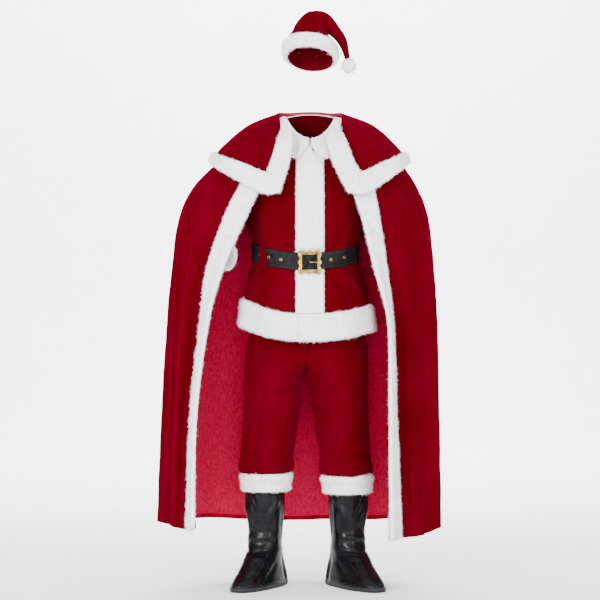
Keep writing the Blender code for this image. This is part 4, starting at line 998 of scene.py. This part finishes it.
def cape_pieces(f):
    white, cut = (f["fur"],), (f["velour"], f["lining"], f["hem"])
    shape = creased(cape, CAPE_CREASES, rough=0.0012, seed=101, strength=1.1)
    u, v = cape_grid(0, 8, 280, 124, hem=0.05)
    cloth("cape_body", shape, u, v, cut,
          hems=("last",))
    for name, start, end in CAPE_EDGES:
        u, v = cape_grid(CAPE_BAND_ROW, 8, 18, 200, start, end)
        fur_pad(f"cape_band_{name}", cape, u, v, white, low=SEAM, seed=111 + int(end))
    shape = creased(capelet, CAPELET_CREASES, rough=0.0009, seed=121)
    u, v = cape_grid(0, 4, 220, 60, hem=0.25)
    cloth("capelet", shape, u, v, cut,
          low=LAYER_GAP, high=LAYER_GAP + CLOTH, hems=("last",))
    over = LAYER_GAP + CLOTH + SEAM
    u, v = cape_grid(CAPELET_TRIM_ROW, 4, 280, 24)
    fur_pad("capelet_hem_band", capelet, u, v, white, low=over, seed=131)
    for name, start, end in CAPE_EDGES:
        u, v = cape_grid(0, CAPELET_TRIM_ROW + 0.45, 18, 70, start, end)
        fur_pad(f"capelet_band_{name}", capelet, u, v, white, low=over,
                seed=141 + int(end))


def boot_pieces(f):
    for name, place, shift in (("left", BOOT_LEFT, 0.0), ("right", BOOT_RIGHT, 0.5)):
        creases = BOOT_CREASES if not shift else tuple(
            (0.5 - a, b, 0.5 - c, d, -e, w, h) for a, b, c, d, e, w, h in BOOT_CREASES)
        shape = creased(boot(place), creases, strength=0.9, rough=0.0008, seed=151 + int(4 * shift))
        rows = np.concatenate([even(0, 7.6, 84), even(7.65, 9, 26)])
        u, v = ring_grid(116, rows)
        points = shape(u, v)
        height = points[..., 2]
        normal = normal_at(boot(place), u, v)
        ledge = 0.0022 * np.clip((0.015 - height) / 0.0015, 0, 1)
        ledge -= 0.0012 * np.exp(-(((height - 0.0165) / 0.0012) ** 2))
        top = 0.0012 * np.clip((height - 0.337) / 0.002, 0, 1)
        outer = points + normal * (ledge + top)[..., None]
        inner = points - normal * VINYL
        points, quads, _ = shell(outer, inner, ring=True)
        rim = (v[:-1].ravel() > BOOT_EDGE_ROW).astype(int)
        paint = np.zeros(len(quads), int)
        paint[:len(rim)] = rim
        add_piece(f"boot_{name}", points, quads, (f["vinyl"], f["sole"]), paint)


def belt_rise(turns, v):
    """How far the strap stands off the jacket: over the fur band in front, on the cloth elsewhere."""
    middle = jacket(turn_at_x(v, BAND_MIDDLE_X), v)[..., 1]
    edge = np.maximum(jacket(turn_at_x(v, BAND_LEFT_X), v)[..., 1],
                      jacket(turn_at_x(v, BAND_RIGHT_X), v)[..., 1])
    near, far = turn_at_x(v, BAND_LEFT_X), side_turn(v)
    away_left = (turns - near) / (far - near)
    near_right = 1 + turn_at_x(v, BAND_RIGHT_X)
    away_right = (near_right - turns) / (near_right - (1 - side_turn(v)))
    away = np.minimum(np.where(turns < 0.5, away_left, 1), np.where(turns > 0.5, away_right, 1))
    ease = np.interp(away, (0.0, 0.14, 0.28, 0.42), (1.0, 0.62, 0.28, 0.0))
    return SEAM + ease * (edge - middle + FUR_THIN + 2 * SEAM)


def belt_pieces(f):
    shares = even(0, 1, 26)
    turns = even(0, 1, 330)
    v = BELT_TOP_ROW + shares[:, None] + 0 * turns[None, :]
    first, last = turn_at_x(v, BAND_LEFT_X), 1 + turn_at_x(v, BAND_RIGHT_X)
    u = first + (last - first) * turns[None, :]
    low = belt_rise(u, v)
    front = jacket(u, v)
    normal = normal_at(jacket, u, v)
    laid = front + normal * low[..., None]
    gap = np.linspace(0, 1, 34)[1:-1]
    start, end = laid[:, -1], laid[:, 0]
    bridge = mix(start[:, None], end[:, None], gap[None, :, None])
    bridge[..., 1] -= BRIDGE_BOW * np.sin(math.pi * gap)[None, :]
    bridge_normal = np.zeros_like(bridge) + (0, -1, 0)
    inner = np.concatenate([laid, bridge], axis=1)
    facing = np.concatenate([normal, bridge_normal], axis=1)
    across = shares * BELT_WIDTH
    from_edge = np.minimum(across, BELT_WIDTH - across)
    crown = BELT_THICKNESS * (0.62 + 0.38 * np.sqrt(1 - (1 - np.clip(from_edge / 0.004, 0, 1)) ** 2))
    crown -= 0.0007 * np.exp(-(((from_edge - 0.0065) / 0.0012) ** 2))
    outer = inner + facing * crown[:, None, None]
    points, quads, _ = shell(outer, inner, ring=True)
    add_piece("belt_strap", points, quads, (f["strap"],))
    stitches, faces = [], []
    for row in (3, len(shares) - 4):
        line = outer[row]
        run = arc(line, 0)
        for place in np.arange(0.004, run[-1] - 0.004, STITCH_STEP):
            ends = [np.array([np.interp(place + d, run, line[:, k]) for k in range(3)])
                    for d in (-STITCH_HALF, STITCH_HALF)]
            k = min(int(np.searchsorted(run, place)), len(line) - 1)
            out, along = facing[row, k], unit(ends[1] - ends[0])
            side = np.cross(out, along) * 0.0005
            body = []
            for share, size in ((0, 0.35), (0.25, 1), (0.75, 1), (1, 0.35)):
                middle = mix(ends[0], ends[1], share) + out * 0.0001
                body += [middle - side * size, middle + out * 0.0006 * size, middle + side * size,
                         middle - out * 0.0004 * size]
            base = len(stitches) * 16
            stitches.append(body)
            for j in range(3):
                for i in range(4):
                    a, b = base + j * 4 + i, base + j * 4 + (i + 1) % 4
                    faces.append((a, b, b + 4, a + 4))
            faces += [(base + 3, base + 2, base + 1, base), (base + 12, base + 13, base + 14, base + 15)]
    add_piece("belt_stitching", np.array(stitches).reshape(-1, 3), np.array(faces),
              (f["thread"],), extra=True)
    rings, ring_faces = [], []
    angle = even(0, 2 * math.pi, EYELET_ROUND + 1)[:-1]
    wire = even(0, 2 * math.pi, EYELET_WIRE + 1)[:-1]
    for x, share in EYELETS:
        line = outer[int(share * (len(shares) - 1))]
        k = int(np.argmin(np.abs(line[:, 0] - x) + np.where(line[:, 1] > 0, 9, 0)))
        centre, out = line[k], unit(facing[int(share * (len(shares) - 1)), k])
        side = unit(np.cross(out, (0, 0, 1)))
        up = np.cross(side, out)
        base = len(rings) * EYELET_ROUND * EYELET_WIRE
        ring = []
        for a in angle:
            spoke = side * math.cos(a) + up * math.sin(a)
            ring.append([centre + spoke * (EYELET_RADIUS + 0.0013 * math.cos(b))
                         + out * (0.0004 + 0.0009 * math.sin(b)) for b in wire])
        rings.append(ring)
        for i in range(EYELET_ROUND):
            here, there = base + i * EYELET_WIRE, base + (i + 1) % EYELET_ROUND * EYELET_WIRE
            for j in range(EYELET_WIRE):
                k = (j + 1) % EYELET_WIRE
                ring_faces.append((here + j, here + k, there + k, there + j))
    add_piece("belt_eyelets", np.array(rings).reshape(-1, 3), np.array(ring_faces),
              (f["gold"],), extra=True)


# X, and the share of the strap's width from its top.
EYELETS = ((-0.164, 0.48), (-0.134, 0.5), (-0.094, 0.5), (0.066, 0.5), (0.108, 0.5))


def buckle_pieces(f):
    """The cast frame with a wavy edge and a raised bead, and the prong that rests on its left bar."""
    low, high = (np.array(corner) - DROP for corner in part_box("belt_buckle"))
    back_y, front_y = high[1], low[1]
    sides = even(-1, 1, 41)[:-1]
    outer, inner = [], []
    for side in range(4):
        a = side * math.pi / 2
        reach = BUCKLE_HALF + BUCKLE_WAVE * (np.cos(3 * math.pi * sides) + 1.2 * sides**8)
        for line, x, y in ((outer, sides * reach, reach),
                           (inner, sides * BUCKLE_OPENING, BUCKLE_OPENING + 0 * sides)):
            line.append(np.stack([x * math.cos(a) - y * math.sin(a), x * math.sin(a) + y * math.cos(a)], 1))
    outer, inner = np.concatenate(outer), np.concatenate(inner)
    loops = []
    for share, rise in BUCKLE_PROFILE:
        flat = mix(outer, inner, share)
        loops.append(stack(BUCKLE_CENTRE[0] + flat[:, 0], back_y + (front_y - back_y) * rise,
                           BUCKLE_CENTRE[1] + flat[:, 1]))
    front = np.array(loops)
    back = front.copy()
    back[..., 1] = back_y
    points, quads, _ = shell(front, back, ring=True)
    add_piece("belt_buckle", points, quads, (f["gold"],))
    low, high = (np.array(corner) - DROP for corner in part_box("belt_prong"))
    length, angle, rows = high[0] - low[0], even(0, 2 * math.pi, 21)[:-1], []
    for s in even(0, 1, 26):
        radius = PRONG_RADIUS * (1.0 - 0.42 * s) * math.sqrt(max(1 - max((s - 0.9) / 0.1, 0) ** 2, 0.02))
        radius *= 1 + 0.22 * math.exp(-(((s - 0.08) / 0.06) ** 2))
        x = high[0] - length * s
        y = (low[1] + high[1]) / 2 - 0.0012 * math.sin(math.pi * s)
        rows.append(stack(x + 0 * angle, y + radius * 0.8 * np.cos(angle),
                          (low[2] + high[2]) / 2 + radius * 1.15 * np.sin(angle)))
    outer = np.array(rows)
    inner = outer * 0.4 + outer.mean(axis=1, keepdims=True) * 0.6
    points, quads, _ = shell(outer, inner, ring=True)
    add_piece("belt_prong", points, quads, (f["gold"],))


def stage_and_light():
    pale = principled("studio_paper", (0.90, 0.90, 0.90), 0.9, Specular_IOR_Level=0.1)
    textured(pale, (0.93, 0.93, 0.93), (0.95, 0.95, 0.95), 3.0, 2.0)
    profile = [(FLOOR_FRONT, 0.0), (FLOOR_BACK, 0.0)]
    profile += [(FLOOR_BACK + SWEEP_RADIUS * math.sin(a), SWEEP_RADIUS - SWEEP_RADIUS * math.cos(a))
                for a in even(0, math.pi / 2, 16)[1:]]
    profile.append((FLOOR_BACK + SWEEP_RADIUS, WALL_TOP))
    points = [(x, y, z - NECK_HEIGHT - 0.0005) for x in (-FLOOR_HALF, FLOOR_HALF) for y, z in profile]
    n = len(profile)
    mesh = bpy.data.meshes.new("studio_sweep")
    mesh.from_pydata(points, [], [(k, n + k, n + k + 1, k + 1) for k in range(n - 1)])
    mesh.shade_smooth()
    mesh.materials.append(pale)
    sweep = bpy.data.objects.new("studio_sweep", mesh)
    bpy.context.collection.objects.link(sweep)
    world = bpy.data.worlds.new("studio")
    world.use_nodes = True
    set_inputs(world.node_tree.nodes["Background"], Color=(0.95, 0.97, 1.0, 1), Strength=1.5)
    bpy.context.scene.world = world
    for name, place, target, size, energy in LIGHTS:
        data = bpy.data.lights.new(name, "AREA")
        data.energy, data.size = energy, size
        lamp = bpy.data.objects.new(name, data)
        lamp.location = place
        aim = np.array(target) - place
        lamp.rotation_euler = (math.atan2(math.hypot(aim[0], aim[1]), -aim[2]), 0, yaw_of(aim))
        bpy.context.collection.objects.link(lamp)
    data = bpy.data.cameras.new("camera")
    data.sensor_width, data.lens = 36.0, CAMERA_LENS
    camera = bpy.data.objects.new("camera", data)
    camera.location = CAMERA_PLACE
    camera.rotation_euler = (math.pi / 2, 0, 0)
    bpy.context.collection.objects.link(camera)
    bpy.context.scene.camera = camera


def yaw_of(aim):
    """The turn about Z that points a lamp, tipped back from straight down, along aim."""
    return math.atan2(aim[1], aim[0]) - math.pi / 2


# Name, place, target, size, energy.
LIGHTS = (
    ("key", (-2.8, -4.6, 0.9), (0.0, 0.0, -0.7), 2.2, 400.0),
    ("fill", (3.2, -4.2, 0.5), (0.0, 0.0, -0.6), 3.0, 210.0),
    ("top", (0.2, -1.0, 3.4), (0.0, 0.0, -0.6), 2.4, 10.0),
    ("low", (0.0, -6.0, -0.4), (0.0, 0.0, -0.8), 2.5, 150.0),
    ("paper", (0.0, 4.6, 4.2), (0.0, 8.2, -0.6), 5.0, 1700.0),
)
FLOOR_FRONT = -9.0
FLOOR_BACK = 7.2
FLOOR_HALF = 8.0
SWEEP_RADIUS = 1.2
WALL_TOP = 7.0
CAMERA_PLACE = (-0.0341, -7.0, -0.574)
CAMERA_LENS = 129.2


# Piece, flat size, area, how it is held, what it rests on, and the pieces sewn to it.
SHEETS = (
    ("jacket_front_left", (0.29, 0.70), 0.168, "hung", (), ("belt_loop_left",)),
    ("jacket_front_right", (0.32, 0.70), 0.180, "hung", (), ("jacket_centre_band", "belt_loop_right")),
    ("jacket_back", (0.56, 0.73), 0.357, "hung", (), ("jacket_hem_band", "collar_left", "collar_right")),
    ("sleeve_left", (0.42, 0.50), 0.163, "hung", ("jacket_back",), ("sleeve_cuff_left",)),
    ("sleeve_right", (0.42, 0.50), 0.161, "hung", ("jacket_back",), ("sleeve_cuff_right",)),
    ("trouser_waistband", (0.92, 0.04), 0.0368, "gathered", (), ()),
    ("trouser_leg_left", (0.62, 0.83), 0.432, "hung", ("trouser_waistband",), ("trouser_cuff_left",)),
    ("trouser_leg_right", (0.62, 0.83), 0.432, "hung", ("trouser_waistband",), ("trouser_cuff_right",)),
    ("hat_crown", (0.54, 0.36), 0.089, "draped", (), ("hat_brim", "hat_pompom")),
    ("cape_body", (2.25, 1.36), 2.15, "hung", (), ("cape_band_left", "cape_band_right")),
    ("capelet", (1.55, 0.36), 0.336, "draped", ("cape_body",),
     ("capelet_hem_band", "capelet_band_left", "capelet_band_right")),
    ("boot_left", (0.50, 0.46), 0.158, "hung", (), ()),
    ("boot_right", (0.50, 0.46), 0.158, "hung", (), ()),
)

f = finishes()
for group in (jacket_pieces, collar_pieces, sleeves, trouser_pieces, hat_pieces, cape_pieces, boot_pieces,
              belt_pieces, buckle_pieces):
    group(f)
for piece, flat, area, held, rests_on, joined in SHEETS:
    [shown[name] for name in rests_on]
    [shown[name] for name in joined]
stage_and_light()
